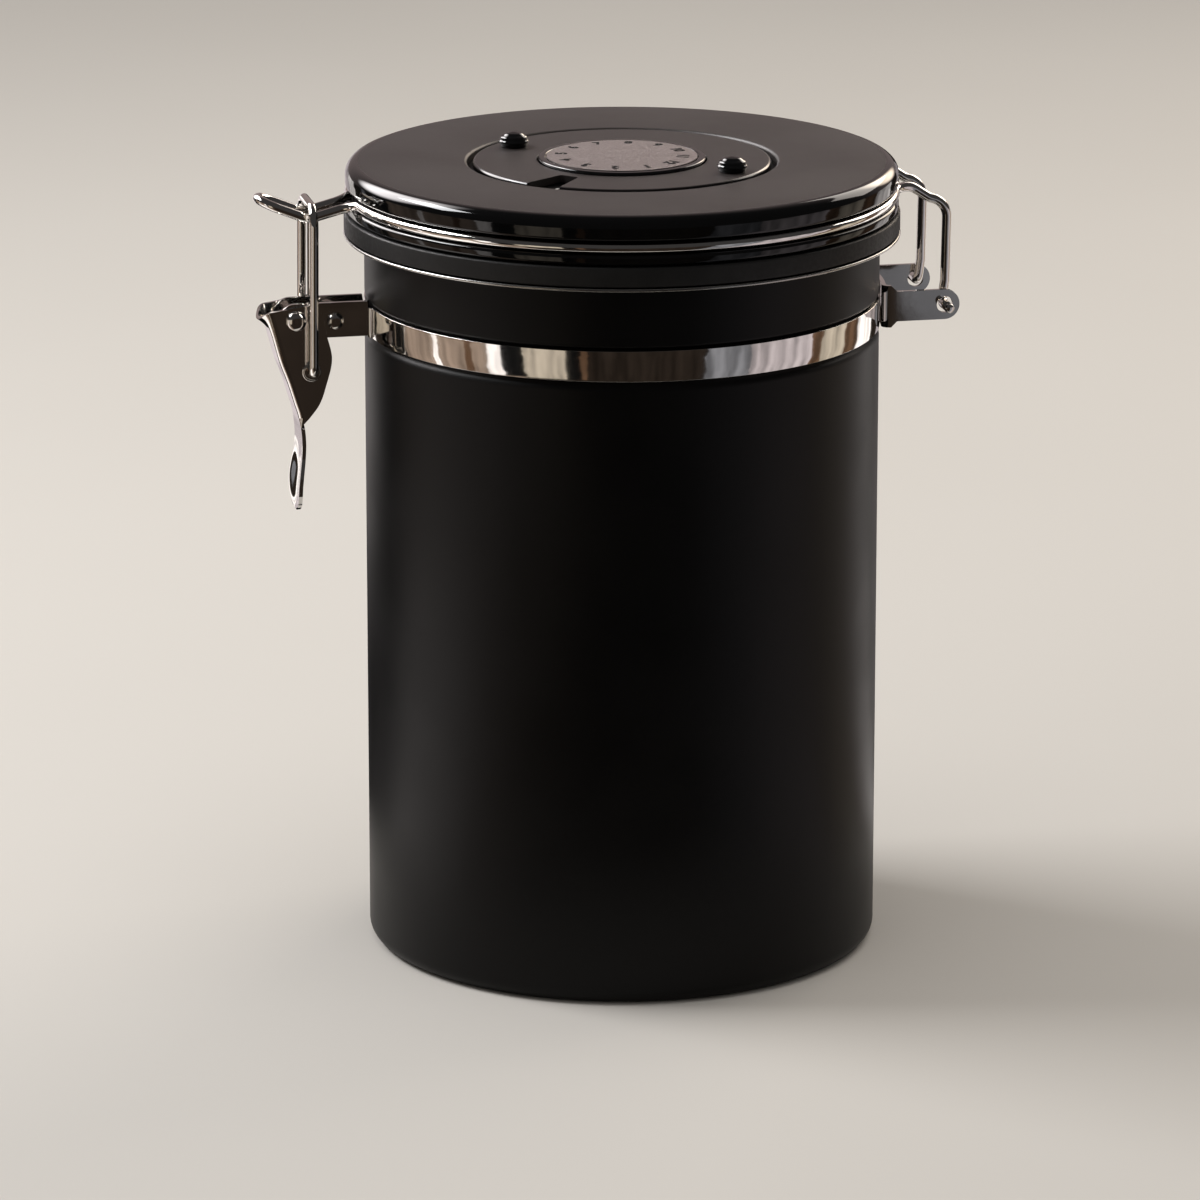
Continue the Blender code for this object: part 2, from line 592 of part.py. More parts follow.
def build_bracket(steel):
    """The hinge bracket: a plate curved to the band between two ears with rounded noses."""
    middle = BAND_OUTER_RADIUS + GAP + BRACKET_THICKNESS / 2
    plate_low = HINGE_HEIGHT - BRACKET_PLATE_HEIGHT / 2
    plate_high = HINGE_HEIGHT + BRACKET_PLATE_HEIGHT / 2
    ear_low, ear_high = HINGE_HEIGHT - EAR_HEIGHT / 2, HINGE_HEIGHT + EAR_HEIGHT / 2
    bend, angle = fold(middle, BRACKET_HALF_WIDTH, BRACKET_BEND_RADIUS, True, CORNER_STEPS)
    side = [
        (x, reach, HINGE_HEIGHT - half, HINGE_HEIGHT + half)
        for x, reach, half in nose(BRACKET_HALF_WIDTH, HINGE_BACK, EAR_HEIGHT / 2, CORNER_STEPS + 1)
    ]
    shoulder = bend[0][1] + BRACKET_BEND_RADIUS
    side.append((BRACKET_HALF_WIDTH, shoulder, ear_low, ear_high))
    side += [(x, reach, plate_low, plate_high) for x, reach in bend]
    plate = arc(0, 0, middle, 90 - angle, 90, CORNER_STEPS)
    side += [(x, y, plate_low, plate_high) for x, y in plate[1:]]
    mirrored = [(-x, y, low, high) for x, y, low, high in reversed(side[:-1])]
    bracket = strip("hinge_bracket", side + mirrored, BRACKET_THICKNESS, steel)
    half = BRACKET_HALF_WIDTH + BRACKET_THICKNESS + OVERRUN
    cut(bracket, cross_cutter("hinge hole in the ears", EAR_HOLE_RADIUS, half, HINGE_BACK, HINGE_HEIGHT))
    return bracket


def lever_point(rise: float, reach: float) -> Vector:
    """Turn shares of the lever's drop and reach into a (y, z) place from its rivet."""
    return Vector((-PIVOT_FORWARD - reach * LEVER_REACH, PIVOT_HEIGHT + rise * LEVER_DROP))


def channel_columns(half_width: float, depth: float) -> list:
    """Half of a channel's section from the cheek's free edge to the web's middle: (x, depth)."""
    corner = min(LEVER_CORNER, depth / 2)
    cheek = [(half_width, depth - (depth - corner) * i / 3) for i in range(3)]
    bend = arc(half_width - corner, corner, corner, 0, -90, 2)
    flat = half_width - corner
    web = [(flat * (1 - i / 3), 0.0) for i in range(1, 4)]
    return cheek + bend + web


def build_lever(steel):
    """The lever: a sheet skinned over its stations, thickened inwards and bored for its pins."""
    rows = []
    for index, (rise, reach, edge_rise, edge_reach, width) in enumerate(LEVER_CHANNEL_SHARES):
        web, edge = lever_point(rise, reach), lever_point(edge_rise, edge_reach)
        inward = (edge - web).normalized()
        half_width = width * LEVER_HALF_WIDTH
        notch = LEVER_NOTCH if index == 0 else 0
        half = []
        for x, depth in channel_columns(half_width, (edge - web).length):
            y, z = web + inward * depth
            hollow = 1 - (x / half_width) ** 2
            half.append((x, y, z - notch * hollow))
        rows.append(half + [(-x, y, z) for x, y, z in reversed(half[:-1])])
    last = len(rows[0]) - 1
    for rise, reach, width, dish in LEVER_TAB_SHARES:
        y, z = lever_point(rise, reach)
        row = []
        for column in range(last + 1):
            across = 1 - 2 * column / last
            hollow = LEVER_TAB_DISH * dish * (1 - across**2) ** 2
            row.append((across * width * LEVER_TAB_HALF_WIDTH, y + hollow, z))
        rows.append(row)
    lever = place("latch_lever", grid_mesh("latch_lever", rows, False, False), steel)
    wall = lever.modifiers.new("wall", "SOLIDIFY")
    wall.thickness = LEVER_THICKNESS
    wall.offset = -1
    wall.use_even_offset = True
    half = LEVER_HALF_WIDTH + OVERRUN
    hole = PIVOT_SHANK_RADIUS + RUNNING_GAP
    cut(lever, cross_cutter("pivot hole in the lever", hole, half, -PIVOT_FORWARD, PIVOT_HEIGHT))
    hole = LINK_WIRE_RADIUS + RUNNING_GAP
    cut(lever, cross_cutter("link hole in the lever", hole, half, -LINK_PIN_FORWARD, LINK_PIN_HEIGHT))
    return lever


def build_link(steel):
    """The link: pin run through the lever, two legs, a hook bar on top and a lapped far leg."""
    low = Vector((0, -LINK_PIN_FORWARD, LINK_PIN_HEIGHT))
    high = Vector((0, -LINK_TOP_FORWARD, LINK_TOP_HEIGHT))
    along = (high - low).normalized()
    beside = Vector((0, 2 * LINK_WIRE_RADIUS + GAP, 0))
    near, far = Vector((LINK_HALF_WIDTH, 0, 0)), Vector((-LINK_HALF_WIDTH, 0, 0))
    corners = [
        high + far + beside - along * LINK_LAP_SHORT,
        low + far + beside + along * LINK_LAP_RISE,
        low + far, low + near, high + near, high + far,
        low + far + along * (LINK_LAP_RISE + LINK_WIRE_RADIUS),
    ]
    radii = [LINK_LAP_CORNER, LINK_PIN_CORNER, LINK_PIN_CORNER, LINK_TOP_CORNER, LINK_TOP_CORNER]
    return wire("latch_link", rounded(corners, radii), LINK_WIRE_RADIUS, steel)


def build_hoop(steel):
    """The hoop: tongue, run round the lid's groove, and legs that end as the hinge's pins."""
    valley = Vector((TONGUE_HALF_WIDTH, -VALLEY_FORWARD, VALLEY_HEIGHT))
    tip_forward = HOOP_RADIUS + TONGUE_TIP_OUT
    slope = (TONGUE_TIP_RISE + TONGUE_VALLEY_DROP) / (tip_forward - VALLEY_FORWARD)
    tip = arc(0, tip_forward - TONGUE_HALF_WIDTH, TONGUE_HALF_WIDTH, 90, 0, CORNER_STEPS + 1)
    side = [Vector((x, -y, VALLEY_HEIGHT + slope * (y - VALLEY_FORWARD))) for x, y in tip]
    root_height = HOOP_HEIGHT - TONGUE_ROOT_DROP
    root = Vector((TONGUE_HALF_WIDTH, -HOOP_RADIUS - TONGUE_ROOT_OUT, root_height))
    side += rounded([side[-1], valley, root], [TONGUE_BEND_RADIUS])[1:]
    start = math.asin((TONGUE_HALF_WIDTH + ROOT_TURN) / HOOP_RADIUS)
    end = math.asin((LEG_HALF_SPACING + ROOT_TURN) / HOOP_RADIUS)
    ring_steps = ROUND_STEPS // 2 - CORNER_STEPS
    turns = arc(0, 0, HOOP_RADIUS, math.degrees(start) - 90, 90 - math.degrees(end), ring_steps)
    ring = [Vector((x, y, HOOP_HEIGHT)) for x, y in turns]
    side += turn_between(root, root - valley, ring[0], (math.cos(start), math.sin(start), 0))
    side += ring
    spots = [
        (HOOP_RADIUS + LEG_ROOT_OUT, HOOP_HEIGHT - LEG_ROOT_DROP),
        (HOOP_RADIUS + LEG_SHOULDER_OUT, HOOP_HEIGHT - LEG_SHOULDER_DROP),
        (HOOP_RADIUS + LEG_CORNER_OUT, HOOP_HEIGHT - LEG_CORNER_DROP),
        (HINGE_BACK + LEG_KNEE_OUT, HINGE_HEIGHT + LEG_KNEE_RISE),
        (HINGE_BACK, HINGE_HEIGHT),
    ]
    leg = [Vector((LEG_HALF_SPACING, y, z)) for y, z in spots]
    pin_end = BRACKET_HALF_WIDTH + BRACKET_THICKNESS / 2 + LEG_END_PROUD
    leg.append(Vector((pin_end, HINGE_BACK, HINGE_HEIGHT)))
    side += turn_between(ring[-1], (-math.cos(end), math.sin(end), 0), leg[0], leg[1] - leg[0])
    side += rounded(leg, [LEG_BEND_RADIUS, LEG_BEND_RADIUS, LEG_KNEE_RADIUS, LEG_FOOT_RADIUS])
    mirrored = [Vector((-point.x, point.y, point.z)) for point in reversed(side[1:])]
    return wire("hoop_wire", mirrored + side, HOOP_WIRE_RADIUS, steel)


def build_cover(paint):
    """The lid's pressed cover, from the dial's sunk seat out to the rolled lip, and back inside."""
    wall, shoulder, bead = COVER_THICKNESS, COVER_SHOULDER, HOOP_BEAD_FILLET
    side, edge = COVER_RADIUS - shoulder, COVER_RADIUS - COVER_LIP_FILLET
    lip = COVER_RADIUS - COVER_LIP_WIDTH
    inner, groove_inner = COVER_RADIUS - wall, GROOVE_RADIUS - wall
    profile = [
        (STEM_HOLE_RADIUS, COVER_FLOOR_TOP), (DIAL_SEAT_RADIUS, COVER_FLOOR_TOP),
        (DIAL_SEAT_RADIUS, LID_TOP),
    ]
    profile += arc(side, LID_TOP - shoulder, shoulder, 90, 0, CORNER_STEPS)
    profile += [
        (COVER_RADIUS, GROOVE_HIGH + GROOVE_SLOPE), (GROOVE_RADIUS, GROOVE_HIGH),
        (GROOVE_RADIUS, GROOVE_LOW),
    ]
    profile += arc(COVER_RADIUS - bead, GROOVE_LOW - bead, bead, 90, 0, CORNER_STEPS - 1)
    profile += [
        (COVER_RADIUS, COVER_BOTTOM + COVER_LIP_FILLET), (edge, COVER_BOTTOM),
        (lip, COVER_BOTTOM), (lip, COVER_BOTTOM + wall), (inner, COVER_BOTTOM + wall),
        (inner, GROOVE_LOW - wall), (groove_inner, GROOVE_LOW - wall),
        (groove_inner, GROOVE_HIGH + wall), (inner, GROOVE_HIGH + GROOVE_SLOPE + wall),
    ]
    profile += arc(side, LID_TOP - shoulder, shoulder - wall, 0, 90, CORNER_STEPS)
    profile += [
        (DIAL_SEAT_RADIUS + wall, LID_TOP - wall), (DIAL_SEAT_RADIUS + wall, COVER_FLOOR_BOTTOM),
        (STEM_HOLE_RADIUS, COVER_FLOOR_BOTTOM),
    ]
    return turned("lid_cover", profile, paint)


def build_liner(plastic):
    """The liner: a thin rim over the cover's lip, a deck over the gasket, and the plug."""
    rim = COVER_RADIUS - COVER_THICKNESS - GAP
    rim_low = COVER_BOTTOM + COVER_THICKNESS + GAP
    rim_high = rim_low + LINER_RIM_THICKNESS
    deck_top = COVER_BOTTOM + LINER_DECK_THICKNESS
    plug_foot = LINER_PLUG_RADIUS - LINER_PLUG_TAPER
    hole = VALVE_SLEEVE_RADIUS + GAP
    profile = [
        (LINER_DECK_RADIUS, deck_top), (LINER_DECK_RADIUS, rim_high), (rim, rim_high),
        (rim, rim_low), (LINER_DECK_RADIUS, rim_low), (LINER_DECK_RADIUS, COVER_BOTTOM),
        (LINER_PLUG_RADIUS, COVER_BOTTOM), (plug_foot, LINER_FLOOR_BOTTOM),
        (hole, LINER_FLOOR_BOTTOM), (hole, LINER_FLOOR_TOP),
        (plug_foot - LINER_WALL, LINER_FLOOR_TOP), (LINER_PLUG_RADIUS - LINER_WALL, deck_top),
    ]
    return turned("lid_liner", profile, plastic)


def build_gasket(rubber):
    """The gasket: lies on the mouth's flange, and is thinner where it hangs inside the mouth."""
    outer, inner = COVER_RADIUS + GASKET_PROUD, LINER_PLUG_RADIUS + GAP
    seat = outer - GASKET_SEAT_WIDTH
    profile = [
        (outer - GASKET_EDGE, GASKET_TOP), (outer, GASKET_TOP - GASKET_EDGE),
        (outer, GASKET_BOTTOM + GASKET_EDGE), (outer - GASKET_EDGE, GASKET_BOTTOM),
        (seat, GASKET_BOTTOM), (seat - GASKET_RELIEF, GASKET_BOTTOM + GASKET_RELIEF),
        (inner, GASKET_BOTTOM + GASKET_RELIEF), (inner, GASKET_TOP),
    ]
    return turned("lid_gasket", profile, rubber)


def build_day_plate(metal):
    """The fixed plate of day numbers under the dial, held by the hub's post."""
    top, outer = DAY_PLATE_BOTTOM + DAY_PLATE_THICKNESS, DIAL_SEAT_RADIUS - GAP
    profile = [
        (outer, top), (outer, DAY_PLATE_BOTTOM), (STEM_HOLE_RADIUS, DAY_PLATE_BOTTOM),
        (STEM_HOLE_RADIUS, top),
    ]
    return turned("day_plate", profile, metal)


def around(radius: float, angle: float) -> tuple:
    """A place in plan at a radius and an angle from +X."""
    return radius * math.cos(angle), radius * math.sin(angle)


def window_cutter():
    """The tapered block that opens the dial's rim over the day numbers."""
    inner = DIAL_RADIUS - WINDOW_DEPTH_SHARE * (DIAL_RADIUS - HUB_HEAD_RADIUS)
    outer = DIAL_RADIUS + OVERRUN
    narrow = WINDOW_HALF_WIDTH * WINDOW_INNER_SHARE
    corners = [(inner, -narrow), (outer, -WINDOW_HALF_WIDTH), (outer, WINDOW_HALF_WIDTH), (inner, narrow)]
    spin = Matrix.Rotation(WINDOW_ANGLE, 3, "Z")
    rows = [
        [spin @ Vector((x, y, z)) for x, y in corners]
        for z in (DIAL_BOTTOM - OVERRUN, LID_TOP + OVERRUN)
    ]
    name = "window in the dial"
    return hide(place(name, grid_mesh(name, rows, close_columns=True, closed=True)))


def build_dial_ring(paint):
    """The turning ring: its inner flange runs under the hub's head."""
    step, hole = HUB_HEAD_RADIUS + GAP, HUB_POST_RADIUS + GAP
    flange = DIAL_BOTTOM + DIAL_FLANGE_THICKNESS
    chamfer = DIAL_EDGE_CHAMFER
    profile = [
        (DIAL_RADIUS - chamfer, LID_TOP), (DIAL_RADIUS, LID_TOP - chamfer),
        (DIAL_RADIUS, DIAL_BOTTOM), (hole, DIAL_BOTTOM), (hole, flange), (step, flange),
        (step, LID_TOP),
    ]
    ring = turned("dial_ring", profile, paint)
    cut(ring, window_cutter())
    for index in range(2):
        x, y = around(KNOB_RING_RADIUS, KNOB_ANGLE + index * math.pi)
        name = "plug hole " + str(index + 1)
        low, high = (x, y, DIAL_BOTTOM - OVERRUN), (x, y, LID_TOP + OVERRUN)
        cut(ring, cylinder_cutter(name, KNOB_PLUG_RADIUS + RUNNING_GAP, low, high))
    return ring


def build_knob(index: int, gloss):
    """One of the two finger knobs, plugged into the dial."""
    plug = DIAL_THICKNESS - GAP
    profile = [(KNOB_RADIUS * r, KNOB_HEIGHT * h) for r, h in KNOB_DOME_SHARES]
    profile += [(KNOB_RADIUS, 0), (KNOB_PLUG_RADIUS, 0), (KNOB_PLUG_RADIUS, -plug), (0, -plug)]
    knob = turned("dial_knob_" + str(index + 1), profile, gloss, SMALL_STEPS)
    knob.location = (*around(KNOB_RING_RADIUS, KNOB_ANGLE + index * math.pi), LID_TOP + GAP)
    return knob


def build_hub(gloss):
    """The fixed hub: a head with a sunk face, the post the dial turns on, and a stem below."""
    sink, rim = CENTRE_DISC_RADIUS + GAP, HUB_HEAD_RADIUS - HUB_HEAD_CHAMFER
    bore = SCREW_SHANK_RADIUS + RUNNING_GAP
    bore_top = COVER_FLOOR_BOTTOM + SCREW_SHANK_LENGTH + GAP
    profile = [
        (0, HUB_SINK_FLOOR), (sink, HUB_SINK_FLOOR), (sink, HUB_HEAD_TOP), (rim, HUB_HEAD_TOP),
        (HUB_HEAD_RADIUS, HUB_HEAD_TOP - HUB_HEAD_CHAMFER), (HUB_HEAD_RADIUS, HUB_HEAD_BOTTOM),
        (HUB_POST_RADIUS, HUB_HEAD_BOTTOM), (HUB_POST_RADIUS, DIAL_BOTTOM),
        (HUB_STEM_RADIUS, DIAL_BOTTOM), (HUB_STEM_RADIUS, COVER_FLOOR_BOTTOM),
        (bore, COVER_FLOOR_BOTTOM), (bore, bore_top), (0, bore_top),
    ]
    return turned("dial_hub", profile, gloss, MIDDLE_STEPS)


def build_centre_disc(metal):
    """The slightly crowned disc of month numbers in the hub's sunk face."""
    low = HUB_SINK_FLOOR + GAP
    high = low + CENTRE_DISC_THICKNESS
    edge = high - CENTRE_DISC_CROWN
    middle = high - CENTRE_DISC_CROWN / 4
    profile = [
        (0, high), (CENTRE_DISC_RADIUS / 2, middle), (CENTRE_DISC_RADIUS, edge),
        (CENTRE_DISC_RADIUS, low), (0, low),
    ]
    return turned("centre_disc", profile, metal, MIDDLE_STEPS)


def build_hub_screw(steel):
    """The screw that draws the hub down from inside the lid."""
    top = COVER_FLOOR_BOTTOM + SCREW_SHANK_LENGTH
    under = COVER_FLOOR_BOTTOM - GAP
    profile = [
        (0, top), (SCREW_SHANK_RADIUS, top), (SCREW_SHANK_RADIUS, under),
        (SCREW_HEAD_RADIUS, under), (SCREW_HEAD_RADIUS, under - SCREW_HEAD_HEIGHT / 2),
        (SCREW_HEAD_RADIUS / 2, under - SCREW_HEAD_HEIGHT), (0, under - SCREW_HEAD_HEIGHT),
    ]
    return turned("hub_screw", profile, steel, SMALL_STEPS)


def build_valve(plastic, rubber, paper):
    """The one-way valve: a seat up through the liner, a snap cap, a flap and a filter."""
    sleeve, bore, stem = VALVE_SLEEVE_RADIUS, VALVE_BORE_RADIUS, VALVE_STEM_HOLE_RADIUS
    flange = sleeve + VALVE_FLANGE_WIDTH
    pocket = FILTER_POCKET_RADIUS
    seat = turned("valve_seat", [
        (sleeve, VALVE_SLEEVE_TOP), (sleeve, VALVE_FLANGE_TOP), (flange, VALVE_FLANGE_TOP),
        (flange, VALVE_FLANGE_BOTTOM), (pocket, VALVE_FLANGE_BOTTOM), (pocket, FILTER_POCKET_TOP),
        (bore, FILTER_POCKET_TOP), (bore, VALVE_WEB_BOTTOM), (stem, VALVE_WEB_BOTTOM),
        (stem, VALVE_WEB_TOP), (bore, VALVE_WEB_TOP), (bore, VALVE_SLEEVE_TOP),
    ], plastic, MIDDLE_STEPS)
    for index in range(VALVE_VENT_COUNT):
        angle = math.tau * (index + 0.5) / VALVE_VENT_COUNT
        x, y = around(VALVE_VENT_RING_SHARE * bore, angle)
        low, high = (x, y, VALVE_WEB_BOTTOM - GAP), (x, y, VALVE_WEB_TOP + GAP)
        cut(seat, cylinder_cutter("vent " + str(index + 1), VALVE_VENT_RADIUS, low, high))

    flap_low = VALVE_WEB_TOP + GAP
    flap_high = flap_low + FLAP_THICKNESS
    flap_edge, flap_stem = bore - 2 * GAP, stem - GAP
    stem_low = VALVE_WEB_BOTTOM - FLAP_STEM_BELOW_WEB
    flap = turned("valve_flap", [
        (0, flap_high), (flap_edge, flap_high), (flap_edge, flap_low), (flap_stem, flap_low),
        (flap_stem, stem_low), (0, stem_low),
    ], rubber, SMALL_STEPS)

    cap_low, cap_foot = VALVE_SLEEVE_TOP + GAP, LINER_FLOOR_TOP + GAP
    cap_high, cap_inner = cap_low + CAP_THICKNESS, sleeve + GAP
    cap_outer = cap_inner + CAP_SKIRT
    cap = turned("valve_cap", [
        (cap_outer, cap_high), (cap_outer, cap_foot), (cap_inner, cap_foot), (cap_inner, cap_low),
        (CAP_HOLE_RADIUS, cap_low), (CAP_HOLE_RADIUS, cap_high),
    ], plastic, MIDDLE_STEPS)

    filter_high = FILTER_POCKET_TOP - GAP
    filter_low, filter_edge = filter_high - FILTER_THICKNESS, pocket - GAP
    disc = turned("valve_filter", [
        (0, filter_high), (filter_edge, filter_high), (filter_edge, filter_low), (0, filter_low),
    ], paper, MIDDLE_STEPS)
    return seat, flap, cap, disc


def main() -> None:
    """Build every piece and hang the moving ones on their axes."""
    clear_scene()
    paint = finish("matte black paint", (0.018, 0.017, 0.018), 0.42, 0.0)
    gloss = finish("gloss black plastic", (0.008, 0.008, 0.009), 0.1, 0.0)
    steel = finish("polished steel", (0.72, 0.7, 0.67), 0.14, 1.0)
    base_steel = finish("plain steel", (0.6, 0.6, 0.6), 0.35, 1.0)
    disc_metal = finish("satin aluminium", (0.6, 0.59, 0.57), 0.32, 1.0)
    plate_paint = finish("dark number plate", (0.03, 0.03, 0.03), 0.5, 0.0)
    liner_plastic = finish("black liner plastic", (0.02, 0.02, 0.02), 0.45, 0.0)
    silicone = finish("dark silicone", (0.035, 0.034, 0.034), 0.55, 0.0)
    filter_paper = finish("filter paper", (0.75, 0.74, 0.7), 0.9, 0.0)

    build_body(paint)
    build_base(base_steel)
    build_clamp_band(steel)
    build_rivet("lever_rivet", steel, PIVOT_SHANK_RADIUS, PIVOT_HEAD_RADIUS, PIVOT_HEAD_HEIGHT,
                LEVER_HALF_WIDTH + GAP, PIVOT_FORWARD, PIVOT_HEIGHT)
    build_rivet("tie_rivet", steel, TIE_SHANK_RADIUS, TIE_HEAD_RADIUS, TIE_HEAD_HEIGHT,
                LUG_OUTER + GAP, TIE_FORWARD, TIE_HEIGHT)
    build_spacer(steel)
    build_bracket(steel)

    lever_axis = axis_empty("lever axis", 0, -PIVOT_FORWARD, PIVOT_HEIGHT)
    link_axis = axis_empty("link axis", 0, -LINK_PIN_FORWARD, LINK_PIN_HEIGHT)
    hang_on(lever_axis, build_lever(steel), link_axis)
    hang_on(link_axis, build_link(steel))

    lid_axis = axis_empty("lid axis", 0, HINGE_BACK, HINGE_HEIGHT)
    dial_axis = axis_empty("dial axis", 0, 0, LID_TOP)
    flap_axis = axis_empty("flap axis", 0, 0, VALVE_WEB_TOP)
    hang_on(lid_axis, build_hoop(steel), build_cover(paint), build_liner(liner_plastic))
    hang_on(lid_axis, build_gasket(silicone), build_day_plate(plate_paint), build_hub(gloss))
    hang_on(lid_axis, build_centre_disc(disc_metal), build_hub_screw(base_steel))
    seat, flap, cap, paper = build_valve(liner_plastic, silicone, filter_paper)
    hang_on(lid_axis, seat, cap, paper, dial_axis, flap_axis)
    hang_on(dial_axis, build_dial_ring(paint), build_knob(0, gloss), build_knob(1, gloss))
    hang_on(flap_axis, flap)


main()
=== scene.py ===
"""The looks of the coffee canister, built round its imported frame.

Metres and +Z up, with the latch at -Y and the lid's hinge at +Y, as in the frame. Each sub-assembly is a
class that holds its finishes and sizes, builds its meshes and dresses them. Every shape is a numpy grid:
a profile turned round an axis, a profile carried along a path, or a sheet of two parameters. Each finish
is a frozen dataclass whose patterns read Object coordinates.
"""

import json
import logging
import math
from dataclasses import dataclass
from enum import Enum
from typing import Callable, Iterable, Optional, Union

import bmesh
import bpy
import numpy as np
from mathutils import Matrix, Vector


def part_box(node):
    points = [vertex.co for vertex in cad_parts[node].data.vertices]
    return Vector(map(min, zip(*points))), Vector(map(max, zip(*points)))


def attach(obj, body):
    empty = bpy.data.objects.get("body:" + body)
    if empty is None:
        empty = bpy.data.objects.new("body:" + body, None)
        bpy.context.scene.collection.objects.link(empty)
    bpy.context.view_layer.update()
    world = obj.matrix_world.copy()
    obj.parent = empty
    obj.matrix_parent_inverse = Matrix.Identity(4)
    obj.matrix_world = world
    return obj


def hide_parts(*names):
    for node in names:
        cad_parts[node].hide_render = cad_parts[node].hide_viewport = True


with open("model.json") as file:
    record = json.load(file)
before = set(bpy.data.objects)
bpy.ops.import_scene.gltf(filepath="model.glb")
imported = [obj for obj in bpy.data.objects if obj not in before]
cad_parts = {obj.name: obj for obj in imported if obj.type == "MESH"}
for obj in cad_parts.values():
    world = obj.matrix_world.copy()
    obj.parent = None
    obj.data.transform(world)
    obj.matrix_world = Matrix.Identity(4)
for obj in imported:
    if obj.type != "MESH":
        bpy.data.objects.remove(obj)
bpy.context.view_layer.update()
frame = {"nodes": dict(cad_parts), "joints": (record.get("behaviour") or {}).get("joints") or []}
log = logging.getLogger("canister")

Item = bpy.types.Object
Material = bpy.types.Material
Socket = bpy.types.NodeSocket
Pair = tuple[float, float]
Triple = tuple[float, float, float]
Colour = Triple
Value = Union[float, Socket]
Tint = Union[Colour, Socket]

WELD = 1e-7
TINY = 1e-9
LEAST_SWEEP = 1e-6
SMOOTH_ANGLE = math.radians(38)
BEVEL_ANGLE = math.radians(50)
DOME_SHARE = 0.55
NOISE_RANGE = (0.3, 0.7)

# Faces round the can, round small parts and round a wire, and on a wire's bend
ROUND_STEPS = 288
SMALL_STEPS = 64
TUBE_SIDES = 28
BEND_STEPS = 12

# The clearance that the solids keep, and the fillets of corners that look sharp, eased and soft
GAP = 0.0003
CRISP = 0.0001
EASED = 0.0002
SOFT = 0.0003


class Body(Enum):
    """The bodies of the frame that new pieces ride on."""

    CAN = "can"
    LID = "lid"
    LEVER = "lever"
    LINK = "link"
    DIAL = "dial"


class Slot(Enum):
    """The record's material slots."""

    CAN_PAINT = "can_paint"
    LID_PAINT = "lid_paint"
    POLISHED_STEEL = "polished_steel"
    PLAIN_STEEL = "plain_steel"
    LINER = "liner_plastic"
    GASKET = "gasket_silicone"
    NUMBER_PLATE = "number_plate"
    DIAL = "dial_plastic"
    GLOSS = "gloss_plastic"
    DISC = "satin_disc"
    PAPER = "filter_paper"


def unit(vectors: np.ndarray) -> np.ndarray:
    """Vectors divided by their own length."""
    length = np.linalg.norm(vectors, axis=-1, keepdims=True)
    return vectors / np.maximum(length, TINY)


def joint_place(name: str) -> Vector:
    """Where a joint's axis stands in the frame."""
    return next(Vector(joint["pos_m"]) for joint in frame["joints"] if joint["name"] == name)


def rounded(corners: Iterable, steps: int = 8, closed: bool = False) -> np.ndarray:
    """Turn the corners of a path into arcs.

    At a corner with half angle h between its two sides, the arc of radius r starts r / tan h along
    each side, and its centre lies r / sin h along their bisector. The arc's points blend the two
    directions from the centre by the sines of their shares of the sweep, pi - 2 h.

    Args:
        corners: one row each, its place in the plane or in space and then the radius of its arc, which
            the ends of an open path don't have.
        steps: faces on each arc.
        closed: whether the path returns to its start.

    Returns:
        The path's points, one row each.
    """
    rows = np.array([tuple(corner) for corner in corners], float)
    points, radii = rows[:, :-1], rows[:, -1]
    if not closed:
        radii[[0, -1]] = 0
    back = unit(np.roll(points, 1, 0) - points)
    ahead = unit(np.roll(points, -1, 0) - points)
    half = np.arccos(np.clip((back * ahead).sum(1), TINY - 1, 1 - TINY)) / 2
    reach = (radii / np.tan(half))[:, None]
    centre = points + unit(back + ahead) * (radii / np.sin(half))[:, None]
    sweep = np.maximum(math.pi - 2 * half, LEAST_SWEEP)[:, None]
    share = np.linspace(0, 1, steps + 1)
    first = (np.sin((1 - share) * sweep) / np.sin(sweep))[..., None]
    second = (np.sin(share * sweep) / np.sin(sweep))[..., None]
    start, end = points + back * reach - centre, points + ahead * reach - centre
    path = centre[:, None] + first * start[:, None] + second * end[:, None]
    path = path.reshape(-1, points.shape[1])
    step = np.linalg.norm(np.diff(path, axis=0), axis=1)
    return path[np.r_[True, step > WELD]]


def hermite(start: np.ndarray, leaving: np.ndarray, end: np.ndarray, arriving: np.ndarray,
            t: np.ndarray) -> np.ndarray:
    """Join two places by a cubic with given slopes.

    The cubic is start (2 t^3 - 3 t^2 + 1) + leaving (t^3 - 2 t^2 + t) + end (3 t^2 - 2 t^3)
    + arriving (t^3 - t^2).

    Args:
        start: place at t = 0.
        leaving: slope there.
        end: place at t = 1.
        arriving: slope there.
        t: where the cubic is read, a column.

    Returns:
        One row for each t.
    """
    return (start * (2 * t**3 - 3 * t**2 + 1) + leaving * (t**3 - 2 * t**2 + t)
            + end * (3 * t**2 - 2 * t**3) + arriving * (t**3 - t**2))


def through(values: np.ndarray, at: np.ndarray, samples: np.ndarray) -> np.ndarray:
    """Draw a smooth curve through rows of values: cubics whose slopes are central differences.

    Args:
        values: one row for each knot.
        at: the knots' own places.
        samples: where the curve is read.

    Returns:
        One row for each sample.
    """
    slope = np.gradient(values, at, axis=0)
    low = np.clip(np.searchsorted(at, samples, "right") - 1, 0, len(at) - 2)
    span = (at[low + 1] - at[low])[:, None]
    t = (samples[:, None] - at[low][:, None]) / span
    return hermite(values[low], slope[low] * span, values[low + 1], slope[low + 1] * span, t)


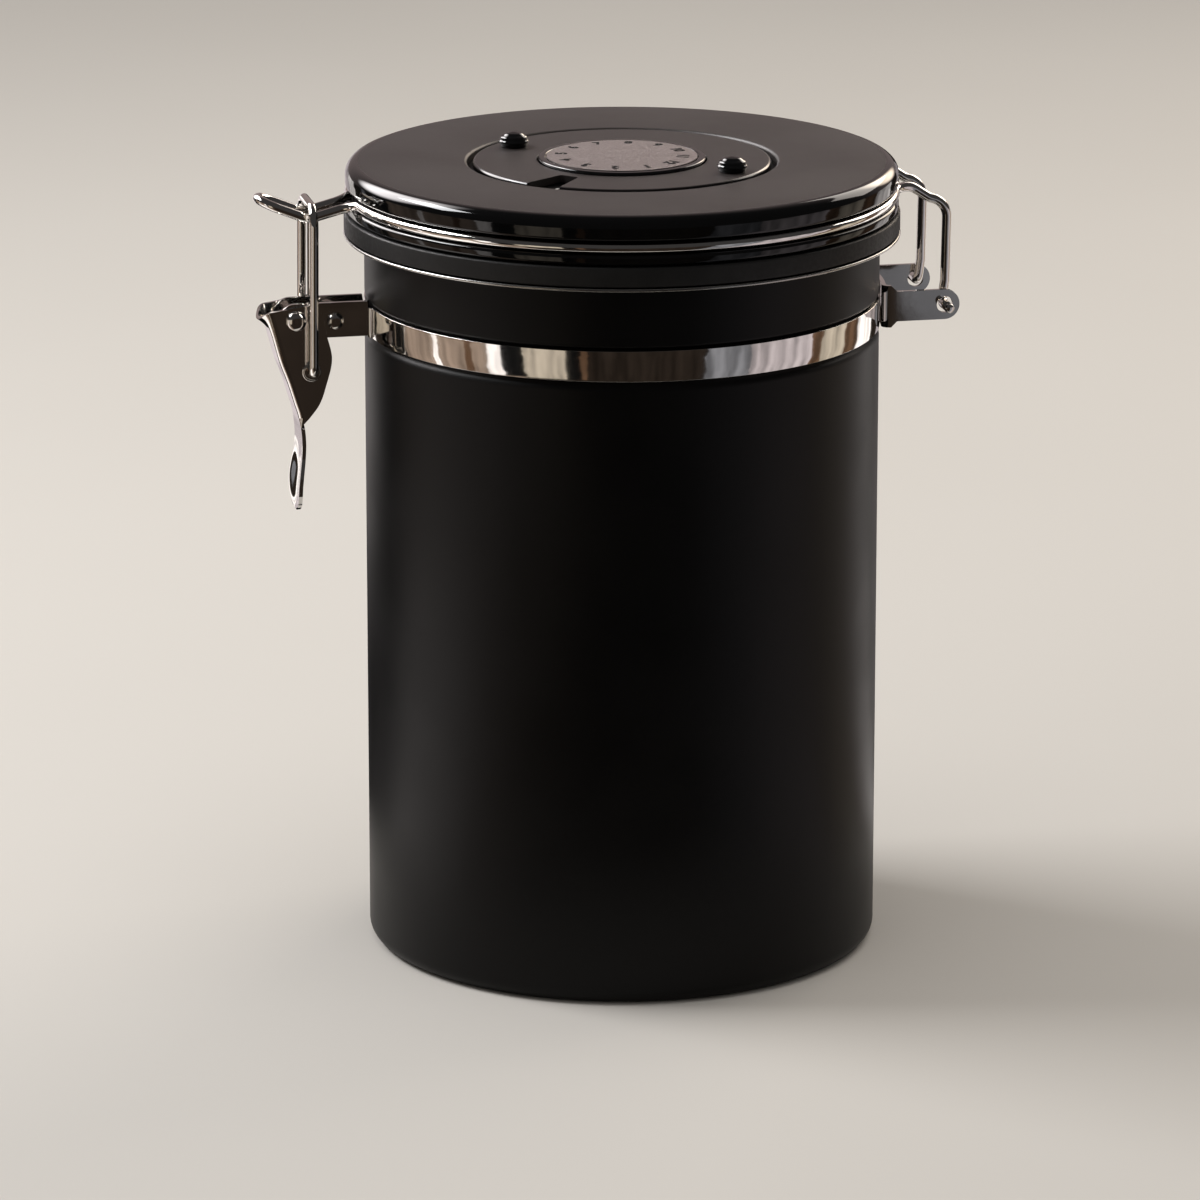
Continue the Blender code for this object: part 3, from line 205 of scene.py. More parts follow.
def turn_between(start: np.ndarray, leaving: np.ndarray, end: np.ndarray, arriving: np.ndarray) -> np.ndarray:
    """Bend a wire smoothly from one place and direction to another.

    It is one cubic whose slopes are as long as the straight way between the two places.

    Args:
        start: first place, which isn't part of the result.
        leaving: direction there.
        end: last place, which isn't part of the result either.
        arriving: direction there.

    Returns:
        The points between, one row each.
    """
    pull = np.linalg.norm(end - start)
    t = np.linspace(0, 1, BEND_STEPS + 2)[1:-1, None]
    return hermite(start, unit(leaving) * pull, end, unit(arriving) * pull, t)


def pressed(path: np.ndarray, thickness: float, on_axis: bool = False, end_steps: int = 6) -> np.ndarray:
    """Outline a pressed sheet: its middle line moved half a thickness to each side.

    The side direction is the middle line's own, turned a quarter; each end is closed by a half circle
    of half the thickness.

    Args:
        path: middle line, (radius, height) a row.
        thickness: of the sheet.
        on_axis: whether the path starts on the axis, where the sheet has no end.
        end_steps: faces on each round end.

    Returns:
        The closed outline.
    """
    along = unit(np.gradient(path, axis=0))
    side = np.stack([-along[:, 1], along[:, 0]], 1) * thickness / 2
    turn = np.linspace(0, math.pi, end_steps + 1)[1:-1, None]
    head = path[0] + np.cos(turn) * -side[0] - np.sin(turn) * along[0] * thickness / 2
    tail = path[-1] + np.cos(turn) * side[-1] + np.sin(turn) * along[-1] * thickness / 2
    return np.concatenate([path + side, tail, (path - side)[::-1], head[:0] if on_axis else head])


def spun(outline: np.ndarray, steps: int = ROUND_STEPS) -> np.ndarray:
    """Turn an outline round Z: x = r cos a, y = r sin a, z = h, for equal angles a.

    Args:
        outline: (radius, height) a row.
        steps: number of angles.

    Returns:
        The grid of points, (steps, rows, 3).
    """
    angle = np.linspace(0, math.tau, steps, endpoint=False)[:, None]
    radius, height = outline[:, 0], outline[:, 1]
    flat = np.cos(angle) * radius, np.sin(angle) * radius
    return np.stack([*flat, np.broadcast_to(height, flat[0].shape)], -1)


def laid_along_x(grid: np.ndarray, place: Iterable) -> np.ndarray:
    """Lay what was turned round Z along X: (x, y, z) becomes (z, x, y), moved to its place."""
    return grid[..., [2, 0, 1]] + np.array(place)


def carried(path: np.ndarray) -> tuple[np.ndarray, np.ndarray, np.ndarray]:
    """Find directions along and across a path, without twist.

    At each point any vector across the path is taken first. Turning it by the rotation between two
    neighbouring directions of travel and comparing it with the next gives a twist; the running sum of
    the twists is taken out again.

    Args:
        path: points of the path, one row each.

    Returns:
        Three arrays of unit vectors: along the path, across it, and square to both.
    """
    along = unit(np.gradient(path, axis=0))
    least = np.eye(3)[np.abs(along).argmin(1)]
    across = unit(np.cross(along, least))
    beside = np.cross(along, across)
    axis = np.cross(along[:-1], along[1:])
    cosine = (along[:-1] * along[1:]).sum(1, keepdims=True)
    old = across[:-1]
    lean = axis * (axis * old).sum(1, keepdims=True) / (1 + cosine)
    turned = old * cosine + np.cross(axis, old) + lean
    twist = np.arctan2((turned * beside[1:]).sum(1), (turned * across[1:]).sum(1))
    angle = np.r_[0, np.cumsum(twist)][:, None]
    return (along, np.cos(angle) * across + np.sin(angle) * beside,
            np.cos(angle) * beside - np.sin(angle) * across)


def tube(path: np.ndarray, radius: float, ends: int = 6) -> np.ndarray:
    """Carry a circle along a path, with domed ends.

    A point is path + r (cos a across + sin a beside). At each end the radius falls as the cosine of
    an angle while the circle moves on by a share of its sine.

    Args:
        path: the middle line.
        radius: of the wire.
        ends: steps of each dome.

    Returns:
        The grid of points, (stations, sides, 3).
    """
    along, across, beside = carried(path)
    turn = np.linspace(0, math.pi / 2, ends + 1)
    dome = DOME_SHARE * radius
    head = path[0] - along[0] * dome * np.sin(turn[::-1, None])
    tail = path[-1] + along[-1] * dome * np.sin(turn[:, None])
    centre = np.concatenate([head, path[1:-1], tail])
    width = np.concatenate([np.cos(turn[::-1]), np.ones(len(path) - 2), np.cos(turn)])
    last = len(path) - 1
    pick = np.r_[np.zeros(ends + 1, int), np.arange(1, last), np.full(ends + 1, last)]
    angle = np.linspace(0, math.tau, TUBE_SIDES, endpoint=False)[None, :, None]
    ring = np.cos(angle) * across[pick][:, None] + np.sin(angle) * beside[pick][:, None]
    return centre[:, None] + radius * width[:, None, None] * ring


def quads(rows: int, columns: int, wrap_rows: bool, wrap_columns: bool) -> np.ndarray:
    """List the faces of a grid: each point with its right, far right and far neighbour.

    Args:
        rows: of the grid.
        columns: of the grid.
        wrap_rows: whether the last row joins the first.
        wrap_columns: whether the last column joins the first.

    Returns:
        Four indices a row.
    """
    row = np.arange(rows if wrap_rows else rows - 1)[:, None]
    column = np.arange(columns if wrap_columns else columns - 1)
    right, far = (column + 1) % columns, (row + 1) % rows * columns
    corners = np.broadcast_arrays(row * columns + column, row * columns + right, far + right, far + column)
    return np.stack(corners, -1).reshape(-1, 4)


def smooth(mesh: bpy.types.Mesh) -> None:
    """Shade a mesh smooth except across its sharp edges."""
    mesh.shade_smooth()
    mesh.set_sharp_from_angle(angle=SMOOTH_ANGLE)


def clean(mesh: bpy.types.Mesh, outward: bool) -> None:
    """Merge a mesh's doubles, drop its faces without area and shade it smooth.

    Args:
        mesh: changed in place.
        outward: whether its faces are also turned out.
    """
    bm = bmesh.new()
    bm.from_mesh(mesh)
    bmesh.ops.remove_doubles(bm, verts=bm.verts, dist=WELD)
    bmesh.ops.dissolve_degenerate(bm, edges=bm.edges, dist=WELD)
    if outward:
        bmesh.ops.recalc_face_normals(bm, faces=bm.faces)
    bm.to_mesh(mesh)
    bm.free()
    smooth(mesh)


def grid_object(name: str, grids: list[np.ndarray], wrap_rows: bool = True, wrap_columns: bool = True,
                caps: bool = False, outward: bool = True) -> Item:
    """Make one object of grids of points.

    Args:
        name: of the object.
        grids: arrays of points, (rows, columns, 3).
        wrap_rows: whether the last row joins the first.
        wrap_columns: whether the last column joins the first.
        caps: whether the first and last row get a face each.
        outward: whether the faces are turned out, as on a closed shell.

    Returns:
        The object, at the origin.
    """
    points, faces, start = [], [], 0
    for grid in grids:
        rows, columns = grid.shape[:2]
        points.append(grid.reshape(-1, 3))
        faces += (quads(rows, columns, wrap_rows, wrap_columns) + start).tolist()
        if caps:
            first = np.arange(columns) + start
            faces += [first.tolist(), (first + (rows - 1) * columns).tolist()]
        start += rows * columns
    mesh = bpy.data.meshes.new(name)
    mesh.from_pydata(np.concatenate(points), [], faces)
    item = bpy.data.objects.new(name, mesh)
    bpy.context.scene.collection.objects.link(item)
    clean(mesh, outward)
    return item


def lathe(name: str, corners: list, steps: int = ROUND_STEPS, arc_steps: int = 6) -> Item:
    """Turn a closed outline with rounded corners round Z.

    Args:
        name: of the object.
        corners: (radius, height, fillet) a row; a corner at radius 0 closes the shape on the axis.
        steps: faces round the axis.
        arc_steps: faces on each fillet.

    Returns:
        The object.
    """
    return grid_object(name, [spun(rounded(corners, arc_steps, closed=True), steps)])


def settle(item: Item) -> None:
    """Replace a piece's mesh by its evaluated one and drop its modifiers."""
    graph = bpy.context.evaluated_depsgraph_get()
    shape = item.evaluated_get(graph)
    mesh = bpy.data.meshes.new_from_object(shape, preserve_all_data_layers=True, depsgraph=graph)
    item.modifiers.clear()
    item.data = mesh
    mesh.name = item.name


def join(item: Item, other: Item) -> None:
    """Add another piece's mesh to a piece's own and remove the other.

    Args:
        item: the piece that stays.
        other: the piece that is removed.
    """
    bm = bmesh.new()
    bm.from_mesh(item.data)
    bm.from_mesh(other.data)
    bm.to_mesh(item.data)
    bm.free()
    bpy.data.objects.remove(other, do_unlink=True)
    smooth(item.data)


def carve(item: Item, cutter: Item) -> None:
    """Take a cutter's space out of a piece and remove the cutter.

    Args:
        item: the piece.
        cutter: a closed shape.
    """
    boolean = item.modifiers.new("cut", "BOOLEAN")
    boolean.operation = "DIFFERENCE"
    boolean.solver = "EXACT"
    boolean.object = cutter
    settle(item)
    bpy.data.objects.remove(cutter, do_unlink=True)


def soften(item: Item, width: float, segments: int = 3) -> None:
    """Round a piece's sharp edges and keep its flat faces flat to the eye.

    Args:
        item: the piece.
        width: of the rounding.
        segments: faces across it.
    """
    bevel = item.modifiers.new("edges", "BEVEL")
    bevel.width = width
    bevel.segments = segments
    bevel.limit_method = "ANGLE"
    bevel.angle_limit = BEVEL_ANGLE
    bevel.miter_outer = "MITER_ARC"
    even = item.modifiers.new("even", "WEIGHTED_NORMAL")
    even.keep_sharp = True
    settle(item)


def dress(item: Item, body: Body, slot: Slot, material: Material, *nodes: str) -> None:
    """Give a piece its finish and its body, and hide the nodes that it stands for.

    Args:
        item: the piece.
        body: that it rides on.
        slot: of the record; not used.
        material: its finish.
        nodes: that it replaces.
    """
    item.data.materials.clear()
    item.data.materials.append(material)
    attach(item, body.value)
    if nodes:
        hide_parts(*nodes)
    log.info("%s: %d faces on %s", item.name, len(item.data.polygons), body.value)


def shaded(colour: Colour, share: float) -> Colour:
    """A colour times a share."""
    return tuple(channel * share for channel in colour)


class Shader:
    """One material's node tree, with short calls for the nodes that the finishes use."""

    def __init__(self, name: str) -> None:
        """Make the material and its Principled shader."""
        self.material = bpy.data.materials.new(name)
        self.material.use_nodes = True
        self.tree = self.material.node_tree
        self.main = self.tree.nodes["Principled BSDF"]
        self.where = self.tree.nodes.new("ShaderNodeTexCoord").outputs["Object"]

    def fill(self, socket: Socket, value: Union[Value, Tint]) -> None:
        """Link a socket to another node's output, or set it to a plain value.

        Args:
            socket: an input.
            value: an output, a number or a colour.
        """
        if isinstance(value, Socket):
            self.tree.links.new(value, socket)
        else:
            socket.default_value = value

    def node(self, kind: str, inputs: dict, **settings: Union[str, bool]) -> bpy.types.Node:
        """Add a node.

        Args:
            kind: Blender's name of the node without ShaderNode.
            inputs: values or outputs by socket name or number.
            settings: properties of the node.

        Returns:
            The node.
        """
        made = self.tree.nodes.new("ShaderNode" + kind)
        for key, value in settings.items():
            setattr(made, key, value)
        for key, value in inputs.items():
            self.fill(made.inputs[key], value)
        return made

    def set(self, **values: Union[Value, Tint]) -> None:
        """Fill the shader's own sockets, whose spaces are written as underscores."""
        for key, value in values.items():
            self.fill(self.main.inputs[key.replace("_", " ")], value)

    def maths(self, operation: str, first: Value, second: Value) -> Socket:
        """One Math node's output."""
        return self.node("Math", {0: first, 1: second}, operation=operation).outputs[0]

    def noise(self, scale: float, detail: float, stretch: Triple = (1, 1, 1)) -> Socket:
        """Noise, 0 to 1, on Object coordinates.

        Args:
            scale: features in a metre.
            detail: how many finer layers it has.
            stretch: scale of each axis.

        Returns:
            Its value.
        """
        place = self.node("Mapping", {"Vector": self.where, "Scale": stretch}).outputs[0]
        return self.node("TexNoise", {"Vector": place, "Scale": scale, "Detail": detail}).outputs[0]

    def between(self, value: Socket, low: float, high: float, out_low: float = 0.0,
                out_high: float = 1.0) -> Socket:
        """Carry a value from one range to another, smoothly and held at its ends."""
        inputs = {"Value": value, "From Min": low, "From Max": high, "To Min": out_low, "To Max": out_high}
        return self.node("MapRange", inputs, interpolation_type="SMOOTHSTEP").outputs[0]

    def mixed(self, share: Value, first: Tint, second: Tint) -> Socket:
        """Mix two colours.

        Args:
            share: of the second.
            first: three numbers or an output.
            second: three numbers or an output.

        Returns:
            The colour.
        """
        colours = [(*tint, 1.0) if isinstance(tint, tuple) else tint for tint in (first, second)]
        inputs = {0: share, 6: colours[0], 7: colours[1]}
        return self.node("Mix", inputs, data_type="RGBA").outputs[2]

    def blended(self, share: Value, first: Value, second: Value) -> Socket:
        """Mix two values, the second by the share."""
        return self.node("Mix", {0: share, 2: first, 3: second}, data_type="FLOAT").outputs[0]

    def bump(self, height: Socket, distance: float, under: Optional[Socket] = None) -> Socket:
        """Turn a height into a normal, over another normal if there is one.

        Args:
            height: 0 to 1.
            distance: height of one, in metres.
            under: the other normal.

        Returns:
            The normal.
        """
        inputs = {"Height": height, "Distance": distance}
        if under:
            inputs["Normal"] = under
        return self.node("Bump", inputs).outputs[0]

    def radius(self) -> Socket:
        """Distance from the can's axis: the length of the place with its height taken out."""
        flat = self.node("VectorMath", {0: self.where, 1: (1, 1, 0)}, operation="MULTIPLY").outputs[0]
        return self.node("VectorMath", {0: flat}, operation="LENGTH").outputs["Value"]

    def along(self, direction: Vector) -> Socket:
        """How far a place lies along a direction."""
        return self.node("VectorMath", {0: self.where, 1: tuple(direction)},
                         operation="DOT_PRODUCT").outputs["Value"]


@dataclass(frozen=True)
class Paint:
    """Black paint on steel: a fine grain, a near-black glossy zone and bare steel, each outside its own
    radius. The near-black zone is real gloss and, on the dial's edge, painted shade that stands for the dark
    gap round the ring.
    """

    name: str
    colour: Colour
    roughness: float
    specular: float
    gloss_and_shade_radius: float = 1.0
    gloss: float = 0.06
    # Colour of the glossy zone: near black, which is painted shade where it darkens the dial's edge
    gloss_and_shade_colour: Colour = (0.002, 0.002, 0.0021)
    bare_radius: float = 1.0
    bare_colour: Colour = (0.74, 0.72, 0.69)
    bare_roughness: float = 0.12
    fade: float = 0.0008
    bare_fade: float = 0.0002
    patch_grain: float = 38.0
    patch_gain: float = 1.3
    rough_range: Pair = (0.25, 0.75)
    rough_shares: Pair = (0.92, 1.1)
    grain: float = 2600.0
    grain_height: float = 0.000006

    def material(self) -> Material:
        """Build the material: broad and fine variation in the coat, then the two outer zones.

        Returns:
            The material.
        """
        s = Shader(self.name)
        patch, fine, radius = s.noise(self.patch_grain, 2), s.noise(self.grain, 2), s.radius()
        # Near-black glossy zone: real gloss, and painted shade where it darkens the dial's edge
        gloss_and_shade_zone = s.between(radius, self.gloss_and_shade_radius, self.gloss_and_shade_radius + self.fade)
        bare = s.between(radius, self.bare_radius, self.bare_radius + self.bare_fade)
        matte = s.mixed(s.between(patch, *NOISE_RANGE), self.colour, shaded(self.colour, self.patch_gain))
        rough = s.between(patch, *self.rough_range, *(self.roughness * share for share in self.rough_shares))
        s.set(
            Base_Color=s.mixed(bare, s.mixed(gloss_and_shade_zone, matte, self.gloss_and_shade_colour), self.bare_colour),
            Roughness=s.blended(bare, s.blended(gloss_and_shade_zone, rough, self.gloss), self.bare_roughness),
            Metallic=bare,
            Normal=s.bump(s.blended(gloss_and_shade_zone, fine, sum(NOISE_RANGE) / 2), self.grain_height),
            Specular_IOR_Level=self.specular,
        )
        return s.material


@dataclass(frozen=True)
class Steel:
    """Stainless steel, polished or plain, with a fine grain, faint smudges and, pressed, a slight wave."""

    name: str
    colour: Colour
    roughness: float
    wave_height: float = 0.0
    wave_grain: float = 150.0
    grain: float = 900.0
    grain_height: float = 0.0000012
    grain_share: float = 0.4
    smudge_grain: float = 120.0
    smudge_range: Pair = (0.3, 0.75)
    smudge_shade: float = 0.93
    rough_shares: Pair = (0.75, 1.4)

    def material(self) -> Material:
        """Build the material: smudges in colour and roughness, grain in roughness and a very low bump.

        Returns:
            The material.
        """
        s = Shader(self.name)
        smudge, grain = s.noise(self.smudge_grain, 4), s.noise(self.grain, 2)
        tone = s.mixed(s.between(smudge, *self.smudge_range), self.colour,
                       shaded(self.colour, self.smudge_shade))
        rough = s.between(s.blended(self.grain_share, smudge, grain), *NOISE_RANGE,
                          *(self.roughness * share for share in self.rough_shares))
        normal = s.bump(grain, self.grain_height)
        if self.wave_height:
            normal = s.bump(s.noise(self.wave_grain, 1), self.wave_height, normal)
        s.set(Base_Color=tone, Roughness=rough, Metallic=1.0, Normal=normal)
        return s.material


@dataclass(frozen=True)
class Moulded:
    """Plastic, rubber, paper or print: one colour with a fine moulded or fibrous grain."""

    name: str
    colour: Colour
    roughness: float
    grain: float = 1800.0
    grain_height: float = 0.000008
    specular: float = 0.5
    patch_grain: float = 160.0
    patch_gain: float = 1.25
    rough_shares: Pair = (0.9, 1.12)

    def material(self) -> Material:
        """Build the material: patches in the colour, grain in the roughness and a low bump.

        Returns:
            The material.
        """
        s = Shader(self.name)
        patch, fine = s.noise(self.patch_grain, 3), s.noise(self.grain, 2)
        s.set(
            Base_Color=s.mixed(s.between(patch, *NOISE_RANGE), self.colour,
                               shaded(self.colour, self.patch_gain)),
            Roughness=s.between(fine, *NOISE_RANGE, *(self.roughness * share for share in self.rough_shares)),
            Normal=s.bump(fine, self.grain_height),
            Specular_IOR_Level=self.specular,
        )
        return s.material


@dataclass
class Can:
    """The painted can: its wall with flange, band groove and turned-in foot, and the base plate."""

    paint: Material
    steel: Material
    radius: float = 0.059
    wall: float = 0.0007
    mouth_fillet: float = 0.0012
    groove_depth: float = 0.0011
    groove_half: float = 0.0039
    groove_slope: float = 0.0006
    # Of the groove's upper edge, its upper corner and its lower corner
    groove_fillets: Triple = (0.0006, 0.0005, 0.0004)
    swell: float = 0.0015
    swell_fillet: float = 0.0017
    band_below_mouth: float = 0.0186
    foot_fillet: float = 0.0035
    foot_lip: float = 0.011
    step_slope: float = 0.0006
    step_fillet: float = 0.0008

    def build(self) -> None:
        """Build both pieces."""
        self.build_wall()
        self.build_base()

    def build_wall(self) -> None:
        """Press the wall from one middle line, from the flange's edge down to the foot's lip."""
        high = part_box("body_shell")[1]
        half = self.wall / 2
        middle, groove = self.radius - half, self.radius - self.groove_depth - half
        band = high.z - self.band_below_mouth
        top, low = band + self.groove_half, band - self.groove_half
        edge, upper, lower = self.groove_fillets
        path = rounded([
            (high.x - half, high.z - half, 0),
            (middle, high.z - half, self.mouth_fillet + half),
            (middle, top + self.groove_slope, edge),
            (groove, top, upper),
            (groove, low, lower),
            (middle, low - self.swell, self.swell_fillet),
            (middle, half, self.foot_fillet - half),
            (self.radius - self.foot_lip + half, half, 0),
        ])
        wall = grid_object("can_wall", [spun(pressed(path, self.wall))])
        dress(wall, Body.CAN, Slot.CAN_PAINT, self.paint, "body_shell")

    def build_base(self) -> None:
        """Press the base plate: its rim on the foot's lip, its middle drawn down to the table."""
        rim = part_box("base_plate")[1]
        half = self.wall / 2
        step = self.radius - self.foot_lip - GAP - half
        path = rounded([
            (0, half, 0),
            (step - self.step_slope, half, self.step_fillet),
            (step, rim.z - half, self.step_fillet),
            (rim.x - half, rim.z - half, 0),
        ])
        plate = grid_object("foot_plate", [spun(pressed(path, self.wall, on_axis=True))])
        dress(plate, Body.CAN, Slot.PLAIN_STEEL, self.steel, "base_plate")


@dataclass
class Fold:
    """A strip's bend from a straight plate into a ring round the can."""

    ring: float
    plate: float
    radius: float
    inward: bool
    steps: int = 10

    def stations(self) -> tuple[np.ndarray, float]:
        """Find the bend's places (side, reach), from plate to ring, and the ring's first angle.

        The bend's centre lies one radius beside the plate and ring + radius from the axis, so the
        ring starts at the angle whose sine is the centre's side over that reach.

        Returns:
            The places, one row each, and the angle in radians.
        """
        side = self.plate - self.radius if self.inward else self.plate + self.radius
        reach = self.ring + self.radius
        angle = math.asin(side / reach)
        start, end = (0, -math.pi / 2 - angle) if self.inward else (math.pi, 1.5 * math.pi - angle)
        turn = np.linspace(start, end, self.steps + 1)
        centre = np.array([side, reach * math.cos(angle)])
        return centre + self.radius * np.stack([np.cos(turn), np.sin(turn)], 1), angle


def nose(plate: float, centre: float, radius: float, steps: int = 8) -> np.ndarray:
    """Find the stations of a plate's half-round end: reach r sin a, half height r cos a.

    The angle a starts half a step short of a quarter turn, so that the first station has a height.

    Args:
        plate: the plate's place to the side.
        centre: reach of the round end's centre.
        radius: of the round end.
        steps: between the stations.

    Returns:
        (side, reach, half height) a row.
    """
    turn = np.linspace(math.pi / 2 * steps / (steps + 0.5), 0, steps + 1)
    return np.stack([np.full(steps + 1, plate), centre + radius * np.sin(turn), radius * np.cos(turn)], 1)


def edge_strip(name: str, half: np.ndarray, thickness: float, crown: float = 0.0, rows: int = 2) -> Item:
    """Stand a strip on edge along stations, thickened half to each side.

    The side direction at a station is square to the mean of its two neighbouring runs, and grows by
    one over the cosine of half their angle, so that the strip keeps its thickness. At a share v of the
    half height its outer face falls back by crown times v to the fourth.

    Args:
        name: of the object.
        half: the strip's first half, (x, y, low, high) a row, which is mirrored in X about its last row.
        thickness: of the strip.
        crown: how far the outer face falls back at its two edges.
        rows: points across the outer face.

    Returns:
        The object, closed at both ends.
    """
    stations = np.concatenate([half, half[-2::-1] * np.array([-1, 1, 1, 1])])
    path = stations[:, :2]
    run = unit(np.diff(path, axis=0))
    before, after = np.r_[run[:1], run], np.r_[run, run[-1:]]
    mean = unit(before + after)
    side = np.stack([-mean[:, 1], mean[:, 0]], 1) / (mean * after).sum(1, keepdims=True)
    share = np.linspace(1, -1, rows)
    out = np.r_[-thickness / 2 + crown * share**4, thickness / 2, thickness / 2]
    up = np.r_[share, -1, 1]
    low, high = stations[:, 2:3], stations[:, 3:4]
    place = path[:, None] + side[:, None] * out[:, None]
    level = (low + high) / 2 + (high - low) / 2 * up
    return grid_object(name, [np.concatenate([place, level[..., None]], 2)], wrap_rows=False, caps=True)


@dataclass(frozen=True)
class Rivet:
    """A rivet along X with a domed, rimmed head at each end, as long as its node."""

    name: str
    node: str
    head: float
    shank: float
    height: float
    # Down the dome: share of the head's radius, of its height, and of its radius that rounds the corner
    dome_shares: tuple = ((0, 1, 0), (0.62, 0.9, 1), (0.95, 0.45, 0.5))

    def build(self, steel: Material) -> None:
        """Turn the rivet and lay it in its node's place.

        Args:
            steel: its finish.
        """
        low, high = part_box(self.node)
        under = high.x - self.height
        upper = [(self.head * out, under + self.height * up, self.head * fillet)
                 for out, up, fillet in self.dome_shares]
        upper += [(self.head, under, CRISP), (self.shank, under, CRISP)]
        lower = [(radius, -x, fillet) for radius, x, fillet in upper[::-1]]
        grid = spun(rounded(upper + lower, closed=True), SMALL_STEPS)
        place = 0, (low.y + high.y) / 2, (low.z + high.z) / 2
        rivet = grid_object(self.name, [laid_along_x(grid, place)])
        dress(rivet, Body.CAN, Slot.POLISHED_STEEL, steel, self.node)


@dataclass
class Band:
    """The clamp band with its two lugs, the rivets through them and the spacer between them."""

    steel: Material
    middle: float = 0.0587
    thickness: float = 0.001
    height: float = 0.0069
    below_mouth: float = 0.0186
    lug_height: float = 0.0081
    lug_rise: float = 0.0011
    lug_side: float = 0.0037
    bend: float = 0.0014
    ring_steps: int = 110
    crown: float = 0.00012
    crown_rows: int = 9
    spacer_bore: float = 0.0014
    rivets: tuple = (
        Rivet("pivot_rivet", "lever_rivet", 0.0023, 0.0015, 0.0012),
        Rivet("lug_rivet", "tie_rivet", 0.0019, 0.0012, 0.0009),
    )

    def build(self) -> None:
        """Build the strip, the rivets and the spacer."""
        self.build_strip()
        for rivet in self.rivets:
            rivet.build(self.steel)
        self.build_spacer()

    def build_strip(self) -> None:
        """Bend the band: round the can and out at the front as two lugs with round noses."""
        pivot = joint_place("lever_pivot")
        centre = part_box("body_shell")[1].z - self.below_mouth
        lug = centre + self.lug_rise
        low, high = centre - self.height / 2, centre + self.height / 2
        side, reach, half = nose(self.lug_side, -pivot.y, self.lug_height / 2).T
        lugs = np.stack([side, -reach, lug - half, lug + half], 1)
        bend, angle = Fold(self.middle, self.lug_side, self.bend, False).stations()
        turn = np.linspace(angle - math.pi / 2, math.pi / 2, self.ring_steps)[1:]
        ring = self.middle * np.stack([np.cos(turn), np.sin(turn)], 1)
        fold = np.concatenate([bend * np.array([1, -1]), ring])
        heights = np.broadcast_to([low, high], (len(fold), 2)).copy()
        heights[0] = lug - self.lug_height / 2, lug + self.lug_height / 2
        stations = np.concatenate([lugs, np.hstack([fold, heights])])
        band = edge_strip("band_strip", stations, self.thickness, self.crown, self.crown_rows)
        soften(band, EASED)
        dress(band, Body.CAN, Slot.POLISHED_STEEL, self.steel, "clamp_band")

    def build_spacer(self) -> None:
        """Turn the tube on the tie rivet."""
        low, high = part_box("tie_spacer")
        outer = (high.z - low.z) / 2
        outline = [(outer, high.x), (outer, low.x), (self.spacer_bore, low.x), (self.spacer_bore, high.x)]
        grid = spun(rounded([(*corner, EASED) for corner in outline], 4, closed=True), SMALL_STEPS)
        place = 0, (low.y + high.y) / 2, (low.z + high.z) / 2
        spacer = grid_object("lug_spacer", [laid_along_x(grid, place)])
        dress(spacer, Body.CAN, Slot.POLISHED_STEEL, self.steel, "tie_spacer")


